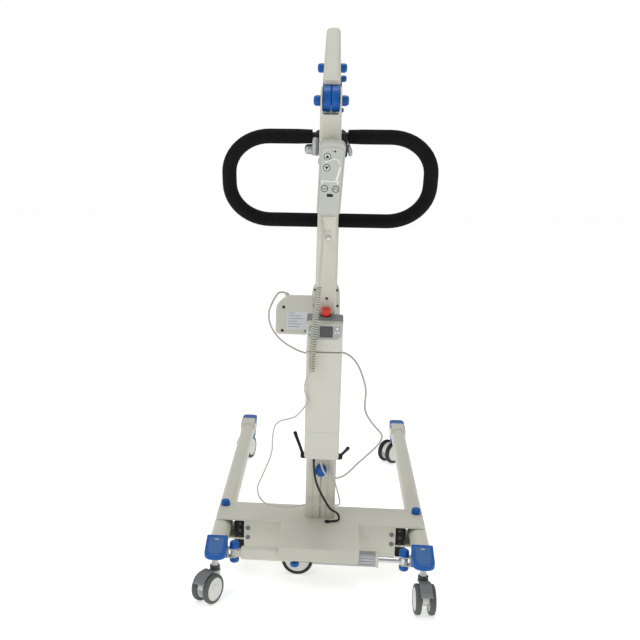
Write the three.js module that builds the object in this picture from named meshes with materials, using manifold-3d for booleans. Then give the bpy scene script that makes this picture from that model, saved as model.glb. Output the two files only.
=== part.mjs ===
// Patient lift hoist: wheeled base with spreading legs, leaning mast, powered boom.
// Millimetres, +Z up, +Y towards the leg fronts, +X to the pusher's right.
import * as THREE from 'three';
import { mergeVertices } from 'three/addons/utils/BufferGeometryUtils.js';
import Module from 'manifold-3d';

const wasm = await Module();
wasm.setup();

// ---------- driving dimensions (mm, degrees) ----------
const GAP = 0.3;                 // running gap between separate pieces
const ROUND = 12;                // facets on a full circle

const PLATE_TOP = 129;           // top of the base cover plate above the floor
const PLATE_SHEET = 4;
const PLATE_FRONT = 25;
const PLATE_REAR = -90;
const PLATE_HALF_WIDTH = 246;
const WALL_HALF_WIDTH = 178;
const WALL_BOTTOM = 68;
const TUNNEL_HALF_WIDTH = 92;    // raised bay over the centre caster
const TUNNEL_TOP = 104;

const LEG_X = 231;               // leg pivot line, left and right of the middle
const LEG_AXIS_Z = 103;
const LEG_RADIUS = 21;
const LEG_FACETS = 20;
const LEG_FRONT = 782;
const LEG_REAR = -206;
const CAP_REAR_END = -264;
const CAP_FRONT_END = 830;
const STEM_REAR_Y = -241;
const STEM_FRONT_Y = 800;
const STEM_TOP_Z = 103.5;

const LINK_X = 192;              // leg link pins
const LINK_Y = -188;
const LINK_Z = 87;

// Wheel radius, and trail: stem centre to axle, horizontally.
const SMALL_WHEEL = { radius: 34, trail: 27 };
const LARGE_WHEEL = { radius: 37.5, trail: 30 };
const CASTERS = {
  rear_left: { x: -LEG_X, y: STEM_REAR_Y, yaw: -30, brake: true, ...SMALL_WHEEL },
  rear_right: { x: LEG_X, y: STEM_REAR_Y, yaw: 4, brake: true, ...SMALL_WHEEL },
  front_left: { x: -LEG_X, y: STEM_FRONT_Y, yaw: -18, brake: false, ...SMALL_WHEEL },
  front_right: { x: LEG_X, y: STEM_FRONT_Y, yaw: -45, brake: false, ...SMALL_WHEEL },
  centre: { x: -20, y: -77, yaw: -90, brake: false, ...LARGE_WHEEL },
};

const MAST_LEAN = 12;            // backwards from upright
const MAST_FOOT_Y = -22;
const MAST_HALF_WIDTH = 22;
const MAST_HALF_DEPTH = 28;
const MAST_WALL = 4;
const MAST_FROM = 40;            // lower end inside the socket, measured up the mast
const SOCKET_HALF = 35;
const SOCKET_TOP = 188;
const CLAMP_HEIGHT = 157;
const KNOB_HEIGHT = 143;
const BOOM_PIVOT = 995;          // up the mast
const FORK_HALF = 18.6;

const BOX_HALF_WIDTH = 39;
const BOX_REAR = -86;
const BOX_FRONT = -28.4;
const BOX_BOTTOM = 195;
const BOX_SPLIT = 465;
const BOX_TOP = 531;
const ESTOP_DEPTH = -50;

const HANDLE_TOP = 920;          // top bar, up the mast
const HANDLE_DROP = 197;
const HANDLE_FORWARD = 47;
const HANDLE_HALF_WIDTH = 214;
const HANDLE_CORNER = 88;
const HANDLE_TUBE = 11;
const FOAM_RADIUS = 15.5;
const FOAM_START = 37;

const HANDSET_BOTTOM = 771;
const HANDSET_HEIGHT = 155;
const HANDSET_REAR = -74;
const HANDSET_FRONT = -46;
const HANDSET_TILT = -2.5;
const KEYS = {
  key_up: { x: -10, w: 125 },
  key_down: { x: -10, w: 102 },
  key_legs_open: { x: -11.5, w: 58 },
  key_legs_close: { x: 11.5, w: 58 },
};

const LIFT_FOOT = { v: 75, w: 430 };   // lower lift pin: ahead of and up the mast axis
const LIFT_LEAN = 12.65;               // spindle forward from upright
const LIFT_LENGTH = 630.5;             // lower pin to boom pin at rest
const LIFT_TUBE_TOP = 418;
const LIFT_ROD_LENGTH = 338;

const BOOM_RISE = 12;            // above level at rest
const BOOM_HALF_WIDTH = 19;
const BOOM_HEIGHT = 60;
const BOOM_WALL = 3;
const BOOM_AXIS_Z = 10;          // tube middle above the pivot line
const BOOM_ROOT = 48;
const COVER_TOP = 28;            // hub cover top above the pivot line, boom frame
const BOOM_STRAIGHT = 772;
const BOOM_BEND = 62;
const LIFT_PIN = { y: 338, z: 8 };
const SPREADER_HALF = 195;
const HANG_PIN = 12;             // hanger pin below the boom's end ring
const HANG = 88;                 // spreader hub below the hanger pin

// ---------- materials ----------
const PAINTS = {
  ivory: { color: 0xc9c9ba, roughness: 0.45, metalness: 0.0 },
  blue: { color: 0x1550a0, roughness: 0.4, metalness: 0.0 },
  foam: { color: 0x141414, roughness: 0.9, metalness: 0.0 },
  silver: { color: 0xb9bcbe, roughness: 0.3, metalness: 0.9 },
  charcoal: { color: 0x3a3d40, roughness: 0.55, metalness: 0.0 },
  sage: { color: 0xb3b6a6, roughness: 0.5, metalness: 0.0 },
  cream: { color: 0xc6c4b6, roughness: 0.5, metalness: 0.0 },
  red: { color: 0xc22026, roughness: 0.35, metalness: 0.0 },
  tyre: { color: 0x2b2d2f, roughness: 0.8, metalness: 0.0 },
};
const paint = {};
for (const [name, look] of Object.entries(PAINTS)) {
  paint[name] = new THREE.MeshStandardMaterial(look);
}

const group = new THREE.Group();

function add(name, geometry, material) {
  const clean = geometry.index ? geometry : mergeVertices(geometry);
  clean.computeVertexNormals();
  const mesh = new THREE.Mesh(clean, paint[material]);
  mesh.name = name;
  group.add(mesh);
}

// ---------- solid operations ----------
function toSolid(geometry) {
  const bare = geometry.clone();
  bare.deleteAttribute('normal');
  bare.deleteAttribute('uv');
  const merged = mergeVertices(bare, 1e-4);
  return new wasm.Manifold(new wasm.Mesh({
    numProp: 3,
    vertProperties: new Float32Array(merged.attributes.position.array),
    triVerts: new Uint32Array(merged.index.array),
  }));
}

function toGeometry(solid) {
  const mesh = solid.getMesh();
  const geometry = new THREE.BufferGeometry();
  const points = new Float32Array(mesh.numVert * 3);
  for (let i = 0; i < mesh.numVert; i += 1) {
    for (let k = 0; k < 3; k += 1) {
      points[i * 3 + k] = mesh.vertProperties[i * mesh.numProp + k];
    }
  }
  geometry.setAttribute('position', new THREE.BufferAttribute(points, 3));
  geometry.setIndex(new THREE.BufferAttribute(new Uint32Array(mesh.triVerts), 1));
  return geometry;
}

function combine(method, first, others) {
  let solid = toSolid(first);
  for (const other of others) {
    solid = solid[method](toSolid(other));
  }
  return toGeometry(solid);
}
const join = (first, ...others) => combine('add', first, others);
const cut = (first, ...others) => combine('subtract', first, others);
const keep = (first, ...others) => combine('intersect', first, others);

// ---------- basic shapes ----------
function box(x0, x1, y0, y1, z0, z1) {
  const geometry = new THREE.BoxGeometry(x1 - x0, y1 - y0, z1 - z0);
  return geometry.translate((x0 + x1) / 2, (y0 + y1) / 2, (z0 + z1) / 2);
}

// Box measured outwards from the middle plane, on the left (-1) or right (+1).
function sideBox(side, near, far, y0, y1, z0, z1) {
  const edges = [side * near, side * far].sort((a, b) => a - b);
  return box(...edges, y0, y1, z0, z1);
}

function bar(radius, from, to, facets = ROUND) {
  const start = new THREE.Vector3(...from);
  const run = new THREE.Vector3(...to).sub(start);
  const geometry = new THREE.CylinderGeometry(radius, radius, run.length(), facets);
  geometry.rotateX(Math.PI / 2);
  geometry.translate(0, 0, run.length() / 2);
  const turn = new THREE.Quaternion();
  turn.setFromUnitVectors(new THREE.Vector3(0, 0, 1), run.normalize());
  geometry.applyQuaternion(turn);
  return geometry.translate(start.x, start.y, start.z);
}

// Turned piece about +Z from [radius, height] pairs; the pairs start and end on the axis.
function turned(profile, facets = ROUND) {
  const points = profile.map(([radius, height]) => new THREE.Vector2(radius, height));
  return new THREE.LatheGeometry(points, facets).rotateX(Math.PI / 2);
}

function outline(points) {
  return new THREE.Shape(points.map(([a, b]) => new THREE.Vector2(a, b)));
}

function roundedOutline(a0, a1, b0, b1, radius) {
  const shape = new THREE.Shape();
  shape.moveTo(a0 + radius, b0);
  shape.lineTo(a1 - radius, b0);
  shape.absarc(a1 - radius, b0 + radius, radius, -Math.PI / 2, 0);
  shape.lineTo(a1, b1 - radius);
  shape.absarc(a1 - radius, b1 - radius, radius, 0, Math.PI / 2);
  shape.lineTo(a0 + radius, b1);
  shape.absarc(a0 + radius, b1 - radius, radius, Math.PI / 2, Math.PI);
  shape.lineTo(a0, b0 + radius);
  shape.absarc(a0 + radius, b0 + radius, radius, Math.PI, Math.PI * 1.5);
  return shape;
}

function circleOutline(a, b, radius) {
  const shape = new THREE.Shape();
  shape.absarc(a, b, radius, 0, Math.PI * 2);
  return shape;
}

function extrude(shape, length, edge = 0, curve = 3) {
  const geometry = new THREE.ExtrudeGeometry(shape, {
    depth: length - 2 * edge,
    bevelEnabled: edge > 0,
    bevelThickness: edge,
    bevelSize: edge,
    bevelOffset: -edge,
    bevelSegments: 1,
    curveSegments: curve,
  });
  return geometry.translate(0, 0, edge);
}

// Outline in (x, y) grown up +Z.
function upright(shape, z0, z1, edge = 0, curve = 3) {
  return extrude(shape, z1 - z0, edge, curve).translate(0, 0, z0);
}

// Outline in (y, z) grown along +X.
function sideways(shape, x0, x1, edge = 0, curve = 3) {
  const geometry = extrude(shape, x1 - x0, edge, curve);
  const axes = new THREE.Matrix4().set(0, 0, 1, x0, 1, 0, 0, 0, 0, 1, 0, 0, 0, 0, 0, 1);
  return geometry.applyMatrix4(axes);
}

// Outline in (x, z) grown along Y.
function lengthways(shape, y0, y1, edge = 0, curve = 3) {
  const geometry = extrude(shape, y1 - y0, edge, curve);
  const axes = new THREE.Matrix4().set(1, 0, 0, 0, 0, 0, -1, y1, 0, 1, 0, 0, 0, 0, 0, 1);
  return geometry.applyMatrix4(axes);
}

// Domed screw cap standing on a face at height 0, with a shank going below it.
function domeCap(radius, height, shankRadius, shankLength) {
  return turned([
    [0, -shankLength], [shankRadius, -shankLength], [shankRadius, 0], [radius, 0],
    [radius, height * 0.55], [radius * 0.72, height * 0.92], [0, height],
  ]);
}

// ---------- frames ----------
const rad = THREE.MathUtils.degToRad;

function frameAt(x, y, z, pitch) {
  return new THREE.Matrix4().makeTranslation(x, y, z)
    .multiply(new THREE.Matrix4().makeRotationX(rad(pitch)));
}

function pointIn(frame, x, y, z) {
  return new THREE.Vector3(x, y, z).applyMatrix4(frame);
}

const mastFrame = frameAt(0, MAST_FOOT_Y, PLATE_TOP, MAST_LEAN);
const pivot = pointIn(mastFrame, 0, 0, BOOM_PIVOT);
const boomFrame = frameAt(0, pivot.y, pivot.z, BOOM_RISE);
const liftFoot = pointIn(mastFrame, 0, LIFT_FOOT.v, LIFT_FOOT.w);
const liftFrame = frameAt(0, liftFoot.y, liftFoot.z, -LIFT_LEAN);

// ---------- base ----------
function basePlate() {
  const sheet = upright(
    roundedOutline(-PLATE_HALF_WIDTH, PLATE_HALF_WIDTH, PLATE_REAR, PLATE_FRONT, 18),
    PLATE_TOP - PLATE_SHEET, PLATE_TOP);
  const bay = TUNNEL_HALF_WIDTH;
  const wall = outline([
    [-WALL_HALF_WIDTH, PLATE_TOP - 2], [-WALL_HALF_WIDTH, WALL_BOTTOM], [-bay, WALL_BOTTOM],
    [-bay, TUNNEL_TOP + 2], [bay, TUNNEL_TOP + 2], [bay, WALL_BOTTOM],
    [WALL_HALF_WIDTH, WALL_BOTTOM], [WALL_HALF_WIDTH, PLATE_TOP - 2],
  ]);
  const rearWall = lengthways(wall, PLATE_REAR + 2, PLATE_REAR + 6);
  const frontWall = lengthways(wall, PLATE_FRONT - 6, PLATE_FRONT - 2);
  const bores = [-LEG_X, LEG_X].map((x) => bar(6.4, [x, 0, 100], [x, 0, 140]));
  return cut(join(sheet, rearWall, frontWall), ...bores);
}

// Hat-section plate under the leg pivots, raised in the middle over the centre caster.
function lowerPlate() {
  const bay = TUNNEL_HALF_WIDTH - 4;
  const low = 76;
  const hat = outline([
    [-240, low], [-bay - 4, low], [-bay, low], [-bay, TUNNEL_TOP - 4], [bay, TUNNEL_TOP - 4],
    [bay, low], [240, low], [240, low + 4], [bay + 4 - GAP, low + 4], [bay + 4 - GAP, TUNNEL_TOP],
    [-bay - 4 + GAP, TUNNEL_TOP], [-bay - 4 + GAP, low + 4], [-240, low + 4],
  ]);
  const plate = lengthways(hat, PLATE_REAR + 6 + GAP, PLATE_FRONT - 6 - GAP);
  const bores = [-LEG_X, LEG_X].map((x) => bar(6.4, [x, 0, 60], [x, 0, 100]));
  const { x, y } = CASTERS.centre;
  return cut(plate, ...bores, bar(7 + GAP, [x, y, 90], [x, y, 110]));
}

// Sloping tread the pusher can put a foot on; it also covers the leg drive.
function footPlate() {
  const top = PLATE_TOP;
  const start = PLATE_REAR - GAP;
  const section = outline([
    [start, top], [-157, top], [-205, 110], [-215, 84], [-212, 82.8], [-202.4, 108],
    [-156.4, top - 3], [start, top - 3],
  ]);
  const tread = sideways(section, -91, 91);
  const plan = upright(roundedOutline(-91, 91, -216, start + 20, 10), 60, 140);
  return keep(tread, plan);
}

function legPivot(x) {
  const cap = domeCap(11, 14, 6, 55);
  return cap.translate(x, 0, PLATE_TOP + GAP);
}

function mastSocket() {
  const half = SOCKET_HALF;
  const section = roundedOutline(-half, half, -half, half, 9);
  section.holes.push(roundedOutline(
    -MAST_HALF_WIDTH - GAP, MAST_HALF_WIDTH + GAP, -MAST_HALF_DEPTH - GAP,
    MAST_HALF_DEPTH + GAP, 6));
  let column = upright(section, -30, SOCKET_TOP);
  const flutes = [];
  for (const side of [-1, 1]) {
    flutes.push(box(-2, 2, side * half - 3, side * half + 3, -40, SOCKET_TOP + 10));
    for (const x of [-16, 16]) {
      flutes.push(bar(4, [x, side * (half + 2), -40], [x, side * (half + 2), SOCKET_TOP + 10], 12));
    }
    const studX = side * (half + 5);
    flutes.push(bar(4.4, [side * 24, 0, CLAMP_HEIGHT], [studX, 0, CLAMP_HEIGHT], 16));
  }
  flutes.push(bar(4.4, [0, -half - 5, KNOB_HEIGHT], [0, -29, KNOB_HEIGHT], 16));
  column = cut(column, ...flutes).applyMatrix4(mastFrame);
  return keep(column, box(-60, 60, -200, 200, PLATE_TOP + GAP, 600));
}

// Clamp lever on a stud along +X; the arm sweeps outwards and up at zero turn.
function clampLever(side, turn) {
  const stud = turned([
    [0, -10], [4, -10], [4, GAP], [6.5, GAP], [7, 8], [6, 13], [3, 14.5], [0, 14.5],
  ]).rotateY(Math.PI / 2);
  const arm = bar(4.5, [9, 0, 2], [28, 0, 60], 12);
  const knob = new THREE.SphereGeometry(7, 10, 6).translate(28.5, 0, 61);
  const lever = join(stud, arm, knob);
  lever.rotateX(rad(turn));
  if (side < 0) {
    lever.rotateZ(Math.PI);
  }
  lever.translate(side * SOCKET_HALF, 0, CLAMP_HEIGHT);
  return lever.applyMatrix4(mastFrame);
}

function socketKnob() {
  const body = turned([
    [0, -5.5], [4, -5.5], [4, GAP], [10, GAP], [14, 5], [14, 15], [12, 18], [0, 18],
  ]);
  const flutes = [];
  for (let i = 0; i < 8; i += 1) {
    const angle = (i * Math.PI) / 4;
    const x = 16 * Math.cos(angle);
    const y = 16 * Math.sin(angle);
    flutes.push(bar(4, [x, y, 3], [x, y, 25], 10));
  }
  const knob = cut(body, ...flutes).rotateX(Math.PI / 2);
  return knob.translate(0, -SOCKET_HALF, KNOB_HEIGHT).applyMatrix4(mastFrame);
}

// ---------- legs ----------
function legTube(side) {
  const x = side * LEG_X;
  const run = (radius, extra) => bar(
    radius, [x, LEG_REAR - extra, LEG_AXIS_Z], [x, LEG_FRONT + extra, LEG_AXIS_Z], LEG_FACETS);
  const outer = run(LEG_RADIUS, 0);
  const inner = run(LEG_RADIUS - 3, 5);
  const pinX = side * LINK_X;
  const tabs = [LINK_Z + 8, LINK_Z - 11].map((z) => {
    const slab = sideBox(side, LINK_X, 214, LINK_Y - 9, LINK_Y + 9, z, z + 3);
    return join(slab, bar(9, [pinX, LINK_Y, z], [pinX, LINK_Y, z + 3]));
  });
  const gusset = sideBox(side, 205, 214, LINK_Y - 9, LINK_Y + 9, LINK_Z - 11, LINK_Z + 11);
  const bores = [
    inner,
    bar(6.4, [x, 0, 60], [x, 0, 140]),
    bar(5.3, [pinX, LINK_Y, 60], [pinX, LINK_Y, 120]),
  ];
  return cut(join(outer, gusset, ...tabs), ...bores);
}

function rearCap(side) {
  const x = side * LEG_X;
  const section = outline([
    [-187, 127], [-187, 80.5], [-208, 80.5], [-226, 97], [CAP_REAR_END, 97],
    [CAP_REAR_END, 105], [-257, 109.5],
  ]);
  const body = sideways(section, x - 24, x + 24);
  const plan = roundedOutline(x - 24, x + 24, CAP_REAR_END, -150, 21);
  const shaped = keep(body, upright(plan, 60, 140, 0, 5));
  const pocket = bar(
    LEG_RADIUS + GAP, [x, LEG_REAR - GAP, LEG_AXIS_Z], [x, -180, LEG_AXIS_Z], LEG_FACETS);
  const relief = sideBox(side, 201, 214.5, -200, -180, 74, 98.6);
  const stem = bar(7 + GAP, [x, STEM_REAR_Y, 90], [x, STEM_REAR_Y, STEM_TOP_Z + GAP]);
  return cut(shaped, pocket, relief, stem);
}

function frontCap(side) {
  const x = side * LEG_X;
  const section = outline([
    [720, 127], [720, 80.5], [772, 80.5], [786, 97], [CAP_FRONT_END, 97],
    [CAP_FRONT_END, 118], [822, 127],
  ]);
  const body = sideways(section, x - 25, x + 25);
  const plan = roundedOutline(x - 25, x + 25, 700, CAP_FRONT_END, 20);
  const shaped = keep(body, upright(plan, 60, 140, 0, 5));
  const pocket = bar(
    LEG_RADIUS + GAP, [x, 712, LEG_AXIS_Z], [x, LEG_FRONT + GAP, LEG_AXIS_Z], LEG_FACETS);
  const stem = bar(7 + GAP, [x, STEM_FRONT_Y, 70], [x, STEM_FRONT_Y, STEM_TOP_Z + GAP]);
  return cut(shaped, pocket, stem);
}

function linkPin(side) {
  const top = domeCap(11, 17, 5, 30).translate(0, 0, LINK_Z + 11 + GAP);
  const bottom = domeCap(11, 12, 5, 10).rotateX(Math.PI).translate(0, 0, LINK_Z - 11 - GAP);
  return join(top, bottom).translate(side * LINK_X, LINK_Y, 0);
}

// ---------- leg drive ----------
function linkBar() {
  const z = LINK_Z;
  const eye = bar(9, [-LINK_X, LINK_Y, z - 7.5], [-LINK_X, LINK_Y, z + 7.5]);
  const neck = box(-LINK_X, -170, LINK_Y - 8, LINK_Y + 8, z - 7.5, z + 7.5);
  const tube = sideways(roundedOutline(LINK_Y - 10, LINK_Y + 10, z - 14, z + 14, 5), -176, -60);
  const bore = bar(5.3, [-LINK_X, LINK_Y, z - 20], [-LINK_X, LINK_Y, z + 20]);
  return cut(join(neck, eye, tube), bore);
}

function legActuatorBody() {
  const z = LINK_Z;
  const yoke = sideways(roundedOutline(LINK_Y - 9, LINK_Y + 9, z - 11, z + 11, 3), -60 + GAP, -8);
  const barrel = sideways(roundedOutline(LINK_Y - 14, LINK_Y + 14, z - 14, z + 14, 3), -12, 134);
  const grooves = [];
  for (const level of [-7, 0, 7]) {
    grooves.push(box(-14, 126, LINK_Y - 17, LINK_Y - 12.8, z + level - 1.2, z + level + 1.2));
  }
  const bore = bar(7, [4, LINK_Y, z], [140, LINK_Y, z]);
  return cut(join(yoke, barrel), ...grooves, bore);
}

function legRod() {
  const z = LINK_Z;
  const rod = bar(6.5, [60, LINK_Y, z], [LINK_X - 6, LINK_Y, z]);
  const eye = bar(9, [LINK_X, LINK_Y, z - 7], [LINK_X, LINK_Y, z + 7]);
  const bore = bar(6, [LINK_X, LINK_Y, z - 20], [LINK_X, LINK_Y, z + 20]);
  return cut(join(rod, eye), bore);
}

// ---------- casters ----------
// Built trailing towards -Y with the stem on the Z axis, then turned and moved into place.
function placeCaster(geometry, spot) {
  return geometry.rotateZ(rad(spot.yaw)).translate(spot.x, spot.y, 0);
}

// White body between the two wheels, carrying the collar and the stem.
function casterHousing(spot) {
  const { radius, trail } = spot;
  const hub = 2 * radius - 3;
  const web = new THREE.Shape();
  web.moveTo(12, hub + 2);
  web.lineTo(-14, hub + 2);
  web.absarc(-trail, radius, radius - 5.5, rad(66), rad(172), false);
  web.lineTo(-trail - 14, radius - 8);
  web.absarc(-trail, radius, 14, rad(215), rad(330), false);
  web.lineTo(8, hub - 20);
  const body = sideways(web, -8, 8);
  const collar = turned([
    [0, hub], [11, hub], [11, hub + 14], [7, hub + 14], [7, STEM_TOP_Z], [0, STEM_TOP_Z],
  ]);
  const bore = bar(5.4, [-20, -trail, radius], [20, -trail, radius]);
  return placeCaster(cut(join(body, collar), bore), spot);
}

// Two wheels on one axle, each with a raised hub disc.
function casterWheels(spot) {
  const { radius, trail } = spot;
  const half = turned([
    [0, 0], [5, 0], [5, 9], [radius - 3, 9.4], [radius, 11.5], [radius, 19],
    [radius - 3, 22], [0, 23],
  ], 18);
  const mirror = half.clone().rotateX(Math.PI);
  const pair = join(half, mirror).rotateY(Math.PI / 2);
  return placeCaster(pair.translate(0, -trail, radius), spot);
}

// Pedal arched over both wheels, with a lug down to the body; it slides round the axle.
function brakePedal(spot) {
  const { radius, trail } = spot;
  const arch = new THREE.Shape();
  arch.absarc(-trail, radius, radius + 5.2, rad(75), rad(138), false);
  arch.lineTo(-trail - 40, radius + 22.5);
  arch.lineTo(-trail - 39, radius + 20.3);
  arch.absarc(-trail, radius, radius + 2.5, rad(138), rad(75), true);
  const plan = upright(roundedOutline(-13, 13, -trail - 41, -8, 4), 20, 90);
  const lug = new THREE.Shape();
  lug.absarc(-trail, radius, radius + 3.5, rad(100), rad(114), false);
  lug.absarc(-trail, radius, radius - 5.2, rad(114), rad(100), true);
  const pedal = keep(sideways(arch, -13, 13), plan);
  return placeCaster(join(pedal, sideways(lug, -4.4, 4.4)), spot);
}

// ---------- mast ----------
function mastTube() {
  const { PI } = Math;
  const section = roundedOutline(
    -MAST_HALF_WIDTH, MAST_HALF_WIDTH, -MAST_HALF_DEPTH, MAST_HALF_DEPTH, 6);
  const wide = MAST_HALF_WIDTH - MAST_WALL;
  const deep = MAST_HALF_DEPTH - MAST_WALL;
  section.holes.push(roundedOutline(-wide, wide, -deep, deep, 3));
  const tube = upright(section, MAST_FROM, BOOM_PIVOT + 28);
  const crown = new THREE.Shape();
  crown.moveTo(-40, 0);
  crown.lineTo(40, 0);
  crown.lineTo(40, BOOM_PIVOT);
  crown.lineTo(MAST_HALF_DEPTH, BOOM_PIVOT);
  crown.absarc(0, BOOM_PIVOT, MAST_HALF_DEPTH, 0, PI);
  crown.lineTo(-40, BOOM_PIVOT);
  const rounded = keep(tube, sideways(crown, -50, 50, 0, 8));
  const notch = roundedOutline(
    -FORK_HALF, FORK_HALF, BOOM_PIVOT - 24, BOOM_PIVOT + 60, 9);
  const rearNotch = lengthways(notch, -40, 40);
  const frontNotch = box(-FORK_HALF, FORK_HALF, -23.8, 40, BOOM_PIVOT - 62, BOOM_PIVOT + 60);
  const pivotBore = bar(7.4, [-40, 0, BOOM_PIVOT], [40, 0, BOOM_PIVOT]);
  return cut(rounded, rearNotch, frontNotch, pivotBore).applyMatrix4(mastFrame);
}

function boomPivotBolt() {
  const reach = MAST_HALF_WIDTH + GAP;
  const right = domeCap(11, 14, 7, reach + 2).rotateY(Math.PI / 2).translate(reach, 0, 0);
  const left = domeCap(11, 14, 7, reach + 2).rotateY(-Math.PI / 2).translate(-reach, 0, 0);
  return join(left, right).translate(0, 0, BOOM_PIVOT).applyMatrix4(mastFrame);
}

function controlHead() {
  const shell = lengthways(
    roundedOutline(-BOX_HALF_WIDTH, BOX_HALF_WIDTH, BOX_SPLIT + 1, BOX_TOP, 6),
    BOX_REAR, BOX_FRONT, 3);
  const back = lengthways(
    roundedOutline(-33, 33, BOX_BOTTOM + 6, BOX_SPLIT + 20, 4), BOX_FRONT - 6, BOX_FRONT);
  const collar = turned([
    [0, -10], [12.5, -10], [12.5, 3], [11, 6], [0, 6],
  ]).translate(0, ESTOP_DEPTH, BOX_TOP);
  const bore = bar(5.4, [0, ESTOP_DEPTH, BOX_TOP - 18], [0, ESTOP_DEPTH, BOX_TOP + 10]);
  return cut(join(shell, back, collar), bore).applyMatrix4(mastFrame);
}

function batteryPack() {
  const lower = lengthways(
    roundedOutline(-BOX_HALF_WIDTH, BOX_HALF_WIDTH, BOX_BOTTOM, BOX_SPLIT, 11),
    BOX_REAR, BOX_FRONT - 6 - GAP, 4);
  const seam = cut(
    box(-60, 60, -200, 0, 266, 268),
    lengthways(roundedOutline(-BOX_HALF_WIDTH + 1.2, BOX_HALF_WIDTH - 1.2, 200, 400, 6),
      BOX_REAR + 1.2, BOX_FRONT + 10));
  const lip = sideways(outline([
    [BOX_REAR - 2, 457], [BOX_REAR + 3, 452], [BOX_REAR + 3, 461], [BOX_REAR - 2, 461],
  ]), -26, 26);
  return join(cut(lower, seam), lip).applyMatrix4(mastFrame);
}

function estopButton() {
  const button = turned([
    [0, -8], [5, -8], [5, 11], [10.5, 12], [11, 15], [10, 19], [7, 22], [0, 23.5],
  ]);
  return button.translate(0, ESTOP_DEPTH, BOX_TOP).applyMatrix4(mastFrame);
}

// ---------- handset ----------
function handsetFrame() {
  return mastFrame.clone()
    .multiply(new THREE.Matrix4().makeTranslation(0, 0, HANDSET_BOTTOM))
    .multiply(new THREE.Matrix4().makeRotationY(rad(-HANDSET_TILT)));
}

function handsetShell() {
  const shape = new THREE.Shape();
  shape.moveTo(-18, 0);
  shape.lineTo(18, 0);
  shape.quadraticCurveTo(24, 0, 24.5, 7);
  shape.lineTo(26, HANDSET_HEIGHT - 8);
  shape.quadraticCurveTo(26, HANDSET_HEIGHT - 2, 20, HANDSET_HEIGHT - 1);
  shape.quadraticCurveTo(0, HANDSET_HEIGHT + 2, -20, HANDSET_HEIGHT - 1);
  shape.quadraticCurveTo(-26, HANDSET_HEIGHT - 2, -26, HANDSET_HEIGHT - 8);
  shape.lineTo(-24.5, 7);
  shape.quadraticCurveTo(-24, 0, -18, 0);
  const body = lengthways(shape, HANDSET_REAR, HANDSET_FRONT, 3.5);
  const wells = [];
  for (const { x, w } of Object.values(KEYS)) {
    wells.push(bar(7.4, [x, HANDSET_REAR - 4, w], [x, HANDSET_REAR + 4.2, w]));
  }
  return cut(body, ...wells).applyMatrix4(handsetFrame());
}

function handsetKey({ x, w }) {
  const key = turned([[0, 0.4], [7, 0.4], [7, 2.9], [6, 3.7], [0, 4]], 20);
  key.rotateX(Math.PI / 2).translate(x, HANDSET_REAR + 4, w);
  return key.translate(0, -1.4 + GAP, 0).applyMatrix4(handsetFrame());
}

// Sheet-metal hanger the handset hooks onto: wall plate, sloping arm, upturned lip.
function handsetHook() {
  const face = -MAST_HALF_DEPTH - GAP;
  const lip = HANDSET_REAR + 12;
  const sheet = 2.2;
  const strip = outline([
    [face, 700], [face, 760], [face - sheet, 760], [face - sheet, 716], [lip + sheet, 712],
    [lip + sheet, 766], [lip, 766], [lip, 710], [face - sheet, 713.6], [face - sheet, 700],
  ]);
  const arm = sideways(strip, -17, 17);
  const plan = lengthways(roundedOutline(-17, 17, 698, 768, 5), -80, -20);
  return keep(arm, plan).applyMatrix4(mastFrame);
}

// ---------- push handle ----------
function handlePath(gapHalf) {
  const drop = Math.hypot(HANDLE_DROP, HANDLE_FORWARD);
  const lean = Math.atan2(HANDLE_FORWARD, HANDLE_DROP);
  const spot = (x, down) => new THREE.Vector3(
    x, down * Math.sin(lean), HANDLE_TOP - down * Math.cos(lean));
  const path = new THREE.CurvePath();
  const wide = HANDLE_HALF_WIDTH;
  const r = HANDLE_CORNER;
  const stops = [
    ['line', spot(gapHalf, 0), spot(wide - r, 0)],
    ['bend', spot(wide - r, 0), spot(wide, 0), spot(wide, r)],
    ['line', spot(wide, r), spot(wide, drop - r)],
    ['bend', spot(wide, drop - r), spot(wide, drop), spot(wide - r, drop)],
    ['line', spot(wide - r, drop), spot(-wide + r, drop)],
    ['bend', spot(-wide + r, drop), spot(-wide, drop), spot(-wide, drop - r)],
    ['line', spot(-wide, drop - r), spot(-wide, r)],
    ['bend', spot(-wide, r), spot(-wide, 0), spot(-wide + r, 0)],
    ['line', spot(-wide + r, 0), spot(-gapHalf, 0)],
  ];
  for (const [kind, a, b, c] of stops) {
    if (kind === 'line') {
      path.add(new THREE.LineCurve3(a, b));
    } else {
      const k = 0.5523;
      path.add(new THREE.CubicBezierCurve3(
        a, a.clone().lerp(b, k), c.clone().lerp(b, k), c));
    }
  }
  return path;
}

// A round tube swept along a planar path; every ring is square to the path.
function sweptTube(path, radius, facets, stations) {
  const rings = stations.map((t) => {
    const centre = path.getPointAt(t);
    const ahead = path.getTangentAt(t);
    const side = new THREE.Vector3().crossVectors(ahead, sweptTube.normal).normalize();
    const ring = [];
    for (let i = 0; i < facets; i += 1) {
      const angle = (i / facets) * Math.PI * 2;
      ring.push(centre.clone()
        .addScaledVector(side, Math.cos(angle) * radius)
        .addScaledVector(sweptTube.normal, Math.sin(angle) * radius));
    }
    return { ring, centre };
  });
  const points = rings.flatMap(({ ring }) => ring);
  const first = points.length;
  points.push(rings[0].centre, rings[rings.length - 1].centre);
  const faces = [];
  for (let r = 0; r + 1 < rings.length; r += 1) {
    for (let i = 0; i < facets; i += 1) {
      const a = r * facets + i;
      const b = r * facets + ((i + 1) % facets);
      faces.push(a, a + facets, b, b, a + facets, b + facets);
    }
  }
  for (let i = 0; i < facets; i += 1) {
    const next = (i + 1) % facets;
    const last = (rings.length - 1) * facets;
    faces.push(first, i, next);
    faces.push(first + 1, last + next, last + i);
  }
  const geometry = new THREE.BufferGeometry().setFromPoints(points);
  geometry.setIndex(faces);
  return geometry;
}
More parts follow.
